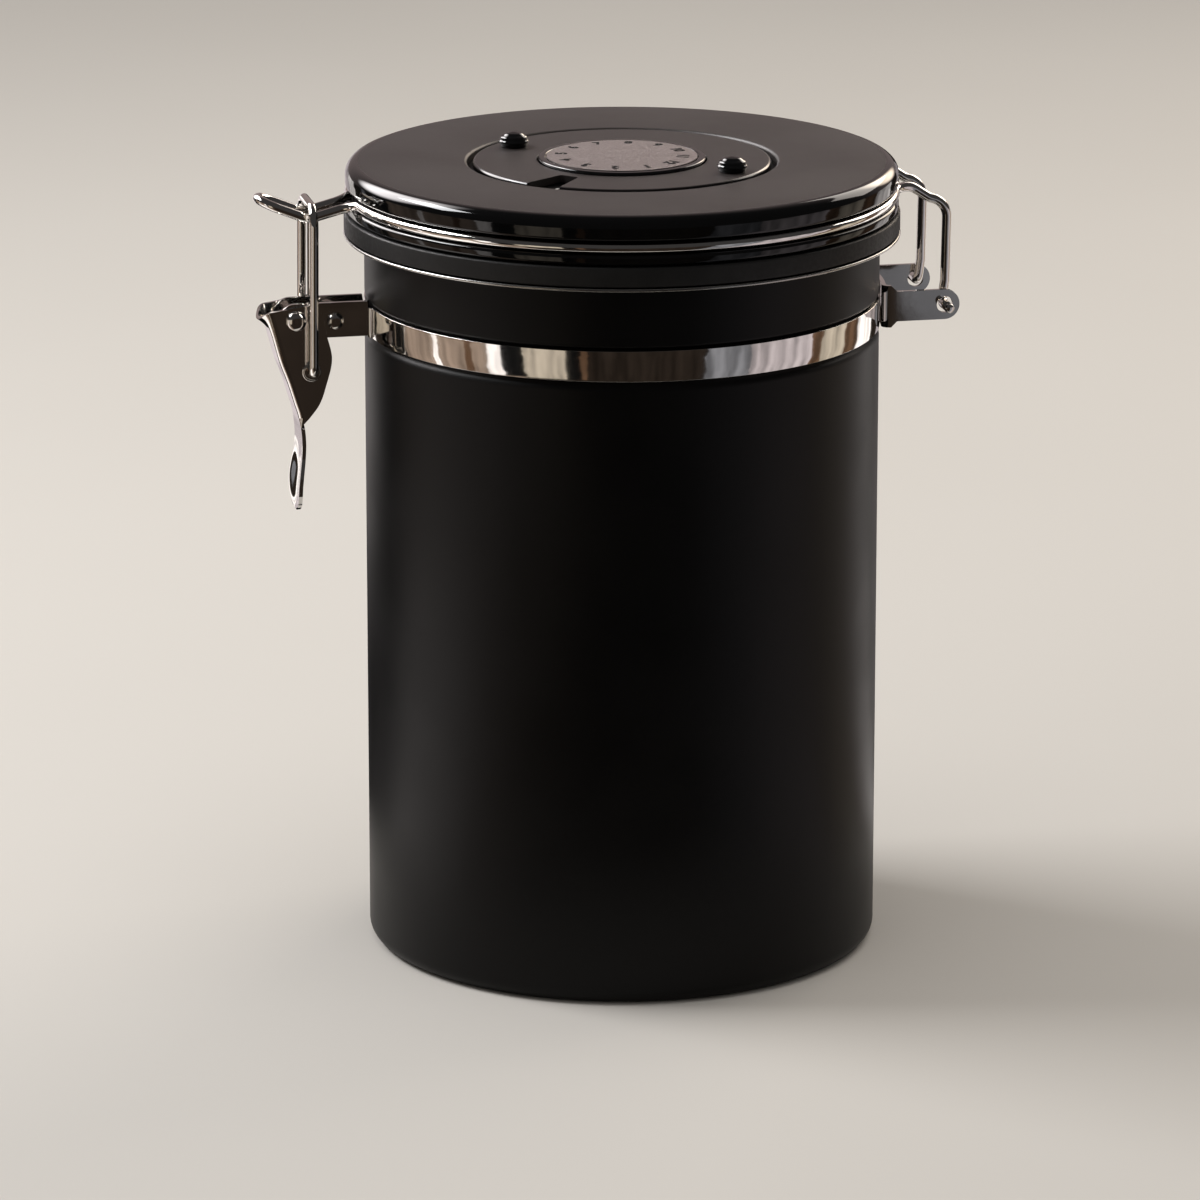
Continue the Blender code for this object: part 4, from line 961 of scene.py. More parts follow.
@dataclass
class Latch:
    """The lever and the wire link."""

    steel: Material
    thickness: float = 0.0009
    half_width: float = 0.0054
    drop: float = 0.0448
    reach: float = 0.0081
    corner: float = 0.0011
    notch: float = 0.0022
    notch_share: float = 0.12
    curl: float = 0.0014
    tab_half_width: float = 0.0076
    tab_dish: float = 0.0009
    rows: int = 190
    columns: int = 34
    eyelet: float = 0.0019
    eyelet_section: float = 0.0003
    eyelet_steps: int = 16
    edge: float = 0.00016
    wire: float = 0.001
    hook_out: float = 0.0727
    link_half_width: float = 0.0088
    pin_bend: float = 0.0022
    hook_bend: float = 0.0045
    lap_bend: float = 0.003
    lap_short: float = 0.0055
    lap_rise: float = 0.005
    # Rise and outward reach of the web, then of the cheeks' free edge, and the half width
    channel_shares: tuple = (
        (0.045, 0.85, 0.083, -0.57, 1.0),
        (-0.018, 0.765, 0.011, -0.75, 1.0),
        (-0.105, 0.642, -0.08, -0.86, 1.0),
        (-0.212, 0.481, -0.2, -1.0, 1.0),
        (-0.33, 0.247, -0.335, -0.84, 1.0),
        (-0.44, 0.06, -0.449, -0.6, 1.0),
        (-0.5, -0.04, -0.506, -0.36, 0.99),
    )
    # Rise and outward reach of the tab's face, its half width and how much of the dish it has
    tab_shares: tuple = (
        (-0.562, -0.1, 0.7, 0.0),
        (-0.64, -0.13, 0.71, 0.0),
        (-0.72, -0.1, 0.78, 0.3),
        (-0.79, -0.04, 0.9, 0.9),
        (-0.86, 0.01, 0.97, 1.0),
        (-0.93, 0.02, 0.88, 0.7),
        (-0.978, 0.01, 0.62, 0.1),
        (-1.0, 0.0, 0.34, 0.0),
    )

    def build(self) -> None:
        """Build both pieces."""
        self.build_lever()
        self.build_link()

    def stations(self) -> tuple[np.ndarray, ...]:
        """Read both tables as one smooth run of stations.

        The tab's stations are written as channels without depth. All values go through one curve
        over the length travelled along the web.

        Returns:
            Web (y, z), edge (y, z), half width, dish and the share of the length, one row each.
        """
        pivot = joint_place("lever_pivot")
        channel, tab = np.array(self.channel_shares), np.array(self.tab_shares)
        scale = np.array([self.drop, self.reach])
        web = np.concatenate([channel[:, :2], tab[:, :2]]) * scale
        edge = np.concatenate([channel[:, 2:4], tab[:, :2]]) * scale
        width = np.r_[channel[:, 4] * self.half_width, tab[:, 2] * self.tab_half_width]
        dish = np.r_[np.zeros(len(channel)), tab[:, 3]] * self.tab_dish
        travelled = np.r_[0, np.cumsum(np.linalg.norm(np.diff(web, axis=0), axis=1))]
        samples = np.linspace(0, travelled[-1], self.rows)
        run = through(np.column_stack([web, edge, width, dish]), travelled, samples)
        place, outward = np.array([pivot.y, pivot.z]), np.array([-1, 1])
        return (place + run[:, [1, 0]] * outward, place + run[:, [3, 2]] * outward, run[:, 4],
                np.maximum(run[:, 5], 0), samples / travelled[-1])

    def section(self, depth: np.ndarray, width: np.ndarray) -> tuple[np.ndarray, np.ndarray]:
        """Find half of each station's section, from the cheek's free edge to the web's middle.

        The half section has length (depth - c) + c pi / 2 + (width - c), c being the corner's radius.
        A share of that length lies on the cheek, on the quarter circle of the corner or on the web.

        Args:
            depth: of the cheeks, one for each station.
            width: half width, one for each station.

        Returns:
            Distance from the middle and distance in from the web, (stations, columns).
        """
        share = np.linspace(0, 1, self.columns)
        corner = np.minimum(self.corner, depth / 2)[:, None]
        depth, width = depth[:, None], width[:, None]
        cheek, bend, web = depth - corner, corner * math.pi / 2, width - corner
        run = share[None] * (cheek + bend + web)
        turn = np.clip((run - cheek) / np.maximum(corner, TINY), 0, math.pi / 2)
        on_web = np.clip(run - cheek - bend, 0, None)
        on_cheek = np.clip(cheek - run, 0, None)
        return (width - corner * (1 - np.cos(turn)) - on_web,
                corner * (1 - np.sin(turn)) + on_cheek)

    def sheet(self) -> np.ndarray:
        """Press the lever's sheet over its stations and thicken it inwards.

        Near the top the web's end is hollowed by notch (1 - (x / half)^2) and curls out by a share of
        that. The tab is dished by dish (1 - (x / half)^2)^2. The inner face is the outer one moved in
        by the thickness along the cross product of the grid's two directions.

        Returns:
            The grid of closed sections.
        """
        web, edge, width, dish, share = self.stations()
        inward = edge - web
        inward = np.where(inward[:, :1] > 0, inward, 0)
        across, into = self.section(np.linalg.norm(inward, axis=1), width)
        inward = unit(inward + np.array([TINY, 0]))
        hollow = 1 - (across / width[:, None]) ** 2
        fade = np.clip(1 - share[:, None] / self.notch_share, 0, 1)
        y = web[:, :1] + inward[:, :1] * into + dish[:, None] * hollow**2 - self.curl * hollow * fade**3
        z = web[:, 1:] + inward[:, 1:] * into - self.notch * hollow * fade
        half = np.stack([across, y, z], -1)
        outer = np.concatenate([half, half[:, -2::-1] * np.array([-1, 1, 1])], 1)
        down, over = np.gradient(outer, axis=0), np.gradient(outer, axis=1)
        inner = outer + unit(np.cross(down, over)) * self.thickness
        return np.concatenate([outer, inner[:, ::-1]], 1)

    def rims(self) -> list[np.ndarray]:
        """Turn the raised rims round the link's two holes: a circle of radius s at radius e."""
        pin = joint_place("link_pivot")
        turn = np.linspace(0, math.tau, self.eyelet_steps, endpoint=False)
        circle = self.eyelet_section * np.stack([np.cos(turn), np.sin(turn)], 1)
        rim = spun(circle + np.array([self.eyelet, 0]), SMALL_STEPS)
        return [laid_along_x(rim, (side * self.half_width, pin.y, pin.z)) for side in (-1, 1)]

    def build_lever(self) -> None:
        """Make the lever of its sheet and its rims."""
        lever = grid_object("lever_sheet", [self.sheet()], wrap_rows=False, caps=True)
        join(lever, grid_object("rims", self.rims()))
        soften(lever, self.edge, 2)
        dress(lever, Body.LEVER, Slot.POLISHED_STEEL, self.steel, "latch_lever")

    def build_link(self) -> None:
        """Bend the link's wire: pin run, two legs, hook bar and the lap on the far leg."""
        pin, top = joint_place("link_pivot"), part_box("latch_link")[1]
        low = np.array([0, pin.y, pin.z])
        high = np.array([0, -self.hook_out, top.z - self.wire])
        along = unit(high - low)
        beside = np.array([0, 2 * self.wire + GAP, 0])
        side = np.array([self.link_half_width, 0, 0])
        path = rounded([
            (*(high - side + beside - along * self.lap_short), 0),
            (*(low - side + beside + along * self.lap_rise), self.lap_bend),
            (*(low - side), self.pin_bend),
            (*(low + side), self.pin_bend),
            (*(high + side), self.hook_bend),
            (*(high - side), self.hook_bend),
            (*(low - side + along * (self.lap_rise + self.wire)), 0),
        ], BEND_STEPS)
        link = grid_object("link_wire", [tube(path, self.wire)], wrap_rows=False)
        dress(link, Body.LINK, Slot.POLISHED_STEEL, self.steel, "latch_link")


@dataclass
class Hinge:
    """The rear bracket and the hoop of wire, whose ends are the hinge's pins."""

    steel: Material
    bracket_middle: float = 0.06
    bracket_thickness: float = 0.001
    bracket_half_width: float = 0.0136
    bracket_height: float = 0.0098
    bracket_steps: int = 16
    ear_height: float = 0.007
    ear_hole: float = 0.0019
    ear_drill: float = 0.03
    ear_steps: int = 48
    bend: float = 0.0014
    wire: float = 0.0011
    ring: float = 0.0623
    ring_steps: int = 180
    root_turn: float = 0.0034
    tongue_half_width: float = 0.004
    tongue_steps: int = 16
    hoop_rise: float = 0.0272
    root_out: float = 0.0041
    root_drop: float = 0.0011
    valley_out: float = 0.011
    valley_drop: float = 0.0029
    valley_bend: float = 0.005
    tip_out: float = 0.0218
    leg_side: float = 0.0112
    # Where each leg turns, outside the ring and below it, and the radius of its bend there
    leg_spots: tuple = ((0.0039, 0.0004, 0), (0.0072, 0.0026, 0.0045), (0.0115, 0.0038, 0.0045))
    knee_out: float = 0.0007
    knee_rise: float = 0.0051
    knee_bend: float = 0.004
    pin_bend: float = 0.0018
    pin_end: float = 0.0185

    def build(self) -> None:
        """Build both pieces."""
        self.build_bracket()
        self.build_hoop()

    def drill(self) -> Item:
        """Make the cutter of the ears' holes: a circle at each end, (x, y + r cos a, z + r sin a)."""
        axis = joint_place("lid_hinge")
        angle = np.linspace(0, math.tau, self.ear_steps, endpoint=False)
        ring = self.ear_hole * np.stack([0 * angle, np.cos(angle), np.sin(angle)], 1)
        ends = [ring + np.array([x, axis.y, axis.z]) for x in (-self.ear_drill, self.ear_drill)]
        return grid_object("drill", [np.stack(ends)], wrap_rows=False, caps=True)

    def build_bracket(self) -> None:
        """Bend the bracket: a plate curved to the band between two ears with round noses."""
        axis = joint_place("lid_hinge")
        low, high = axis.z - self.bracket_height / 2, axis.z + self.bracket_height / 2
        side, reach, half = nose(self.bracket_half_width, axis.y, self.ear_height / 2).T
        ears = np.stack([side, reach, axis.z - half, axis.z + half], 1)
        bend, angle = Fold(self.bracket_middle, self.bracket_half_width, self.bend, True).stations()
        shoulder = np.array([[self.bracket_half_width, bend[0, 1] + self.bend, *ears[-1, 2:]]])
        turn = np.linspace(math.pi / 2 - angle, math.pi / 2, self.bracket_steps)[1:]
        plate = np.concatenate([bend, self.bracket_middle * np.stack([np.cos(turn), np.sin(turn)], 1)])
        heights = np.broadcast_to([low, high], (len(plate), 2))
        stations = np.concatenate([ears, shoulder, np.hstack([plate, heights])])
        bracket = edge_strip("rear_bracket", stations, self.bracket_thickness)
        carve(bracket, self.drill())
        soften(bracket, EASED)
        dress(bracket, Body.CAN, Slot.POLISHED_STEEL, self.steel, "hinge_bracket")

    def tongue(self) -> np.ndarray:
        """Bend half of the tongue: round its tip, down into its valley and up to its root.

        The tip is a quarter circle in plan, x = h cos a, y = h - h sin a from its outermost place, and
        it rises outwards on one slope from the valley.

        Returns:
            The points, from the tip's middle to the root.
        """
        z = joint_place("lid_hinge").z + self.hoop_rise
        half = self.tongue_half_width
        valley = np.array([half, -self.ring - self.valley_out, z - self.valley_drop])
        root = np.array([half, -self.ring - self.root_out, z - self.root_drop])
        tip_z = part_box("hoop_wire")[1].z - self.wire
        turn = np.linspace(math.pi / 2, 0, self.tongue_steps)
        x = half * np.cos(turn)
        y = half - self.ring - self.tip_out - half * np.sin(turn)
        slope = (tip_z - valley[2]) / (self.tip_out - self.valley_out)
        tip = np.stack([x, y, valley[2] + slope * (valley[1] - y)], 1)
        rest = rounded([(*tip[-1], 0), (*valley, self.valley_bend), (*root, 0)], BEND_STEPS)
        return np.concatenate([tip, rest[1:]])

    def leg(self) -> np.ndarray:
        """Bend one hinge leg from its root, over its corner and down to its bent end.

        Returns:
            The points, one row each.
        """
        axis = joint_place("lid_hinge")
        level = axis.z + self.hoop_rise
        path = [(self.leg_side, self.ring + out, level - drop, bend) for out, drop, bend in self.leg_spots]
        path += [
            (self.leg_side, axis.y + self.knee_out, axis.z + self.knee_rise, self.knee_bend),
            (self.leg_side, axis.y, axis.z, self.pin_bend),
            (self.pin_end, axis.y, axis.z, 0),
        ]
        return rounded(path, BEND_STEPS)

    def build_hoop(self) -> None:
        """Bend the hoop in one wire: tongue, ring in the lid's groove, legs and pins."""
        z = joint_place("lid_hinge").z + self.hoop_rise
        start = math.asin((self.tongue_half_width + self.root_turn) / self.ring)
        end = math.asin((self.leg_side + self.root_turn) / self.ring)
        turn = np.linspace(start - math.pi / 2, math.pi / 2 - end, self.ring_steps)[:, None]
        ring = np.hstack([self.ring * np.cos(turn), self.ring * np.sin(turn), np.full_like(turn, z)])
        into_ring = np.array([math.cos(start), math.sin(start), 0])
        out_of_ring = np.array([-math.cos(end), math.sin(end), 0])
        tongue, leg = self.tongue(), self.leg()
        half = np.concatenate([
            tongue, turn_between(tongue[-1], tongue[-1] - tongue[-2], ring[0], into_ring),
            ring, turn_between(ring[-1], out_of_ring, leg[0], leg[1] - leg[0]), leg,
        ])
        path = np.concatenate([half[:0:-1] * np.array([-1, 1, 1]), half])
        hoop = grid_object("lid_hoop", [tube(path, self.wire)], wrap_rows=False)
        dress(hoop, Body.LID, Slot.POLISHED_STEEL, self.steel, "hoop_wire")


@dataclass
class Lid:
    """The cover, the liner under it and the gasket."""

    paint: Material
    plastic: Material
    rubber: Material
    wall: float = 0.0007
    steps: int = 360
    arc_steps: int = 10
    hole: float = 0.003
    seat_radius: float = 0.0354
    seat_depth: float = 0.0028
    seat_fillet: float = 0.0004
    seat_edge: float = 0.00045
    shoulder: float = 0.0029
    groove: float = 0.0609
    groove_high: float = 0.178
    groove_low: float = 0.1752
    groove_slope: float = 0.0002
    groove_fillet: float = 0.0004
    groove_edge: float = 0.0005
    bead_fillet: float = 0.0006
    lip_fillet: float = 0.0005
    deck: float = 0.0596
    fin_low: float = 0.001
    fin_high: float = 0.0015
    plug: float = 0.0536
    plug_foot: float = 0.0525
    plug_fillet: float = 0.0015
    pan_wall: float = 0.0017
    pan_floor: float = 0.0016
    pan_fillet: float = 0.001
    valve_hole: float = 0.0083
    gasket_inner: float = 0.0539
    gasket_seat: float = 0.0061
    gasket_relief: float = 0.001
    gasket_edge: float = 0.0005

    def build(self) -> None:
        """Build the three pieces."""
        self.build_cover()
        self.build_liner()
        self.build_gasket()

    def build_cover(self) -> None:
        """Press the cover from one middle line, from the dial's seat out to the rolled lip."""
        low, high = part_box("lid_cover")
        half = self.wall / 2
        out, floor, seat = high.x - half, high.z - self.seat_depth - half, self.seat_radius + half
        groove = self.groove - half
        path = rounded([
            (self.hole + half, floor, 0),
            (seat, floor, self.seat_fillet),
            (seat, high.z - half, self.seat_edge),
            (out, high.z - half, self.shoulder - half),
            (out, self.groove_high + half + self.groove_slope, self.groove_edge),
            (groove, self.groove_high + half, self.groove_fillet),
            (groove, self.groove_low - half, self.groove_fillet),
            (out, self.groove_low - half, self.bead_fillet),
            (out, low.z + half, self.lip_fillet),
            (self.groove + half, low.z + half, 0),
        ], self.arc_steps)
        cover = grid_object("lid_shell", [spun(pressed(path, self.wall), self.steps)])
        dress(cover, Body.LID, Slot.LID_PAINT, self.paint, "lid_cover")

    def build_liner(self) -> None:
        """Turn the liner: thin fin, deck over the gasket, and the plug with its valve hole."""
        low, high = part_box("lid_liner")
        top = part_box("lid_cover")[0].z
        floor = low.z + self.pan_floor
        liner = lathe("liner_pan", [
            (self.deck, high.z, SOFT),
            (self.deck, top + self.fin_high, CRISP),
            (high.x, top + self.fin_high, CRISP),
            (high.x, top + self.fin_low, CRISP),
            (self.deck, top + self.fin_low, CRISP),
            (self.deck, top, EASED),
            (self.plug, top, EASED),
            (self.plug_foot, low.z, self.plug_fillet),
            (self.valve_hole, low.z, SOFT),
            (self.valve_hole, floor, SOFT),
            (self.plug_foot - self.pan_wall, floor, self.pan_fillet),
            (self.plug - self.pan_wall, high.z, SOFT),
        ])
        dress(liner, Body.LID, Slot.LINER, self.plastic, "lid_liner")

    def build_gasket(self) -> None:
        """Turn the gasket: seat on the mouth's flange, thinner inside."""
        low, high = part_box("lid_gasket")
        seat = high.x - self.gasket_seat
        ring = lathe("gasket_ring", [
            (high.x, high.z, self.gasket_edge),
            (high.x, low.z, self.gasket_edge),
            (seat, low.z, SOFT),
            (seat - self.gasket_relief, low.z + self.gasket_relief, SOFT),
            (self.gasket_inner, low.z + self.gasket_relief, EASED),
            (self.gasket_inner, high.z, EASED),
        ])
        dress(ring, Body.LID, Slot.GASKET, self.rubber, "lid_gasket")


@dataclass(frozen=True)
class Numbers:
    """Plain numbers on a circle, printed as a very thin raised layer."""

    name: str
    count: int
    radius: float
    size: float
    start: float
    thickness: float = 0.00001
    bold_share: float = 0.05

    def build(self, level: float) -> Item:
        """Make each number from a text curve and place its points on the circle.

        Args:
            level: height of the surface that they are printed on.

        Returns:
            One object with all the numbers.
        """
        bm = bmesh.new()
        for index in range(self.count):
            curve = bpy.data.curves.new(self.name, "FONT")
            curve.body = str(index + 1)
            curve.size = self.size
            curve.extrude = self.thickness
            curve.offset = self.size * self.bold_share
            curve.align_x = curve.align_y = "CENTER"
            curve.resolution_u = 4
            text = bpy.data.objects.new(self.name, curve)
            bpy.context.scene.collection.objects.link(text)
            graph = bpy.context.evaluated_depsgraph_get()
            mesh = bpy.data.meshes.new_from_object(text.evaluated_get(graph))
            angle = self.start - math.tau * index / self.count
            spot = Vector((self.radius * math.cos(angle), self.radius * math.sin(angle), level))
            mesh.transform(Matrix.Translation(spot) @ Matrix.Rotation(angle - math.pi / 2, 4, "Z"))
            bm.from_mesh(mesh)
            bpy.data.objects.remove(text, do_unlink=True)
            bpy.data.meshes.remove(mesh)
        mesh = bpy.data.meshes.new(self.name)
        bmesh.ops.remove_doubles(bm, verts=bm.verts, dist=WELD)
        bm.to_mesh(mesh)
        bm.free()
        item = bpy.data.objects.new(self.name, mesh)
        bpy.context.scene.collection.objects.link(item)
        return item


@dataclass
class Dial:
    """The date dial: number plate, turning ring with its knobs, fixed hub and month disc."""

    plate: Material
    pale_ink: Material
    paint: Material
    gloss: Material
    satin: Material
    ink: Material
    radius: float = 0.0341
    bore: float = 0.0165
    step: float = 0.0194
    flange: float = 0.0007
    edge: float = 0.0008
    proud: float = 0.0001
    window_angle: float = math.radians(316.5)
    window_depth: float = 0.0116
    window_half: float = 0.0047
    window_inner: float = 0.00235
    window_fillet: float = 0.0008
    window_reach: float = 0.002
    window_cut: float = 0.001
    window_edge: float = 0.00012
    knob_foot: float = 0.6
    knob_rise: float = 0.0003
    knob_rings: int = 3
    knob_groove: float = 0.05
    knob_plug: float = 0.0016
    knob_steps: int = 80
    hub_sink: float = 0.0006
    hub_fillet: float = 0.0004
    hub_post: float = 0.0162
    hub_stem: float = 0.0027
    hub_bore: float = 0.0014
    hub_bore_depth: float = 0.0029
    disc_crown: float = 0.0003
    disc_steps: int = 192
    crown_steps: int = 14
    # How far down the crown the month numbers lie
    month_share: float = 0.55
    plate_bore: float = 0.003
    months: Numbers = Numbers("month_numbers", 12, 0.0138, 0.0036, math.radians(12))
    days: Numbers = Numbers("day_numbers", 31, 0.0285, 0.0034, window_angle)

    def build(self) -> None:
        """Build the plate, the ring and what stands on them."""
        self.build_plate()
        self.build_ring()
        for node in ("dial_knob_1", "dial_knob_2"):
            self.build_knob(node)
        self.build_hub()
        self.build_disc()

    def build_plate(self) -> None:
        """Turn the day plate and set its numbers."""
        low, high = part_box("day_plate")
        corners = [(high.x, high.z), (high.x, low.z), (self.plate_bore, low.z), (self.plate_bore, high.z)]
        plate = lathe("number_plate", [(*corner, CRISP) for corner in corners])
        dress(plate, Body.LID, Slot.NUMBER_PLATE, self.plate, "day_plate")
        days = self.days.build(high.z + self.days.thickness)
        dress(days, Body.LID, Slot.NUMBER_PLATE, self.pale_ink)

    def window(self, low: float, high: float) -> Item:
        """Make the window's cutter, which widens outwards.

        Args:
            low: level of its bottom.
            high: level of its top.

        Returns:
            The cutter.
        """
        inner, outer = self.radius - self.window_depth, self.radius + self.window_reach
        corners = rounded([
            (outer, -self.window_half, 0), (inner, -self.window_inner, self.window_fillet),
            (inner, self.window_inner, self.window_fillet), (outer, self.window_half, 0),
        ], 6)
        cos, sin = math.cos(self.window_angle), math.sin(self.window_angle)
        plan = corners @ np.array([[cos, sin], [-sin, cos]])
        levels = [np.c_[plan, np.full(len(plan), z)] for z in (low, high)]
        return grid_object("window", [np.stack(levels)], wrap_rows=False, caps=True)

    def build_ring(self) -> None:
        """Turn the ring and open its window."""
        low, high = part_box("dial_ring")
        top, flange = high.z + self.proud, low.z + self.flange
        ring = lathe("date_ring", [
            (self.radius, top, self.edge), (self.radius, low.z, CRISP), (self.bore, low.z, CRISP),
            (self.bore, flange, CRISP), (self.step, flange, CRISP), (self.step, top, EASED),
        ])
        carve(ring, self.window(low.z - self.window_cut, top + self.window_cut))
        soften(ring, self.window_edge, 2)
        dress(ring, Body.DIAL, Slot.DIAL, self.paint, "dial_ring")

    def build_knob(self, node: str) -> None:
        """Turn one knob, a squashed ball on a foot, with shallow rings.

        The ball is r = R k cos t, z = c + b k sin t, from its foot up to its top, where k dips a
        little at each ring.

        Args:
            node: that the knob stands for.
        """
        low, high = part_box(node)
        top = high.z + self.knob_rise
        radius, height = (high.x - low.x) / 2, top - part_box("lid_cover")[1].z - self.proud
        rise = height / (1 + math.sin(self.knob_foot))
        turn = np.linspace(math.pi / 2, -self.knob_foot, self.knob_steps)
        ripple = (1 - np.cos(4 * self.knob_rings * turn)) / 2
        dip = 1 - self.knob_groove * ripple * np.cos(turn)
        ball = np.stack([radius * dip * np.cos(turn), top - rise + rise * dip * np.sin(turn)], 1)
        foot = rounded([(*ball[-1], 0), (self.knob_plug, ball[-1, 1], EASED),
                        (self.knob_plug, low.z, EASED), (0, low.z, 0)], 4)
        grid = spun(np.concatenate([ball, foot[1:]]), SMALL_STEPS)
        middle = (low + high) / 2
        name = node.replace("dial", "finger")
        knob = grid_object(name, [grid + np.array([middle.x, middle.y, 0])])
        dress(knob, Body.DIAL, Slot.GLOSS, self.gloss, node)

    def build_hub(self) -> None:
        """Turn the hub: head with its sunk face, post and stem."""
        low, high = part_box("dial_hub")
        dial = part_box("dial_ring")[0].z
        sink, bore_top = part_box("centre_disc")[1].x + GAP, low.z + self.hub_bore_depth
        floor, under = high.z - self.hub_sink, dial + self.flange + GAP
        hub = lathe("hub_head", [
            (0, floor, 0),
            (sink, floor, CRISP),
            (sink, high.z, SOFT),
            (high.x, high.z, self.hub_fillet),
            (high.x, under, EASED),
            (self.hub_post, under, CRISP),
            (self.hub_post, dial, CRISP),
            (self.hub_stem, dial, CRISP),
            (self.hub_stem, low.z, EASED),
            (self.hub_bore, low.z, CRISP),
            (self.hub_bore, bore_top, CRISP),
            (0, bore_top, 0),
        ])
        dress(hub, Body.LID, Slot.GLOSS, self.gloss, "dial_hub")

    def build_disc(self) -> None:
        """Turn the month disc, crowned as z = top - crown (r / R)^2, and set its numbers."""
        low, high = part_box("centre_disc")
        share = np.linspace(0, 1, self.crown_steps)
        face = np.stack([high.x * share, high.z - self.disc_crown * share**2], 1)
        edge = rounded([(*face[-1], 0), (high.x, low.z, CRISP), (0, low.z, 0)], 3)
        disc = grid_object("month_disc", [spun(np.concatenate([face, edge[1:]]), self.disc_steps)])
        dress(disc, Body.LID, Slot.DISC, self.satin, "centre_disc")
        months = self.months.build(high.z - self.disc_crown * self.month_share)
        dress(months, Body.LID, Slot.DISC, self.ink)


@dataclass
class Valve:
    """The one-way valve in the liner's middle."""

    plastic: Material
    paper: Material
    sleeve: float = 0.008
    bore: float = 0.0072
    pocket: float = 0.0076
    pocket_rise: float = 0.00015
    stem: float = 0.0013
    flange: float = 0.001
    flange_fillet: float = 0.0004
    web_rise: float = 0.0022
    web: float = 0.001
    seat_steps: int = 128
    filter_steps: int = 96

    def build(self) -> None:
        """Build the seat and the filter."""
        self.build_seat()
        self.build_filter()

    def build_seat(self) -> None:
        """Turn the seat: flange with the filter's pocket, sleeve, and the web that the flap lies on."""
        low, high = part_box("valve_seat")
        flange, web = low.z + self.flange, low.z + self.web_rise
        pocket = flange + self.pocket_rise
        seat = lathe("valve_body", [
            (self.sleeve, high.z, EASED),
            (self.sleeve, flange, CRISP),
            (high.x, flange, self.flange_fillet),
            (high.x, low.z, SOFT),
            (self.pocket, low.z, CRISP),
            (self.pocket, pocket, 0),
            (self.bore, pocket, 0),
            (self.bore, web, CRISP),
            (self.stem, web, CRISP),
            (self.stem, web + self.web, CRISP),
            (self.bore, web + self.web, CRISP),
            (self.bore, high.z, EASED),
        ], self.seat_steps, 3)
        dress(seat, Body.LID, Slot.LINER, self.plastic, "valve_seat")

    def build_filter(self) -> None:
        """Turn the paper filter disc."""
        low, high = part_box("valve_filter")
        corners = [(0, high.z, 0), (high.x, high.z, EASED), (high.x, low.z, EASED), (0, low.z, 0)]
        disc = lathe("filter_disc", corners, self.filter_steps, 3)
        dress(disc, Body.LID, Slot.PAPER, self.paper, "valve_filter")


class Tone(Enum):
    """The glowing colours of the cards round the can, which paint reflections into the steel."""

    BLACK = (0.006, 0.006, 0.006)
    OLIVE = (0.026, 0.019, 0.0145)
    BROWN = (0.15, 0.085, 0.05)
    TAN = (0.36, 0.27, 0.21)
    CREAM = (0.58, 0.5, 0.4)
    GREY = (0.25, 0.25, 0.27)
    LILAC = (0.6, 0.53, 0.54)
    WHITE = (1.5, 1.4, 1.35)


@dataclass(frozen=True)
class Softbox:
    """One lamp: its direction and rise in degrees, its distance, sides, power in watts and colour."""

    name: str
    degrees: float
    rise: float
    distance: float
    sides: Pair
    power: float
    colour: Colour = (1, 1, 1)
    mirrored: bool = True


@dataclass(frozen=True)
class Glow:
    """A soft round light in the canopy: its direction and rise, and where it starts to fade and ends."""

    degrees: float
    rise: float
    inner: float
    outer: float
    colour: Colour


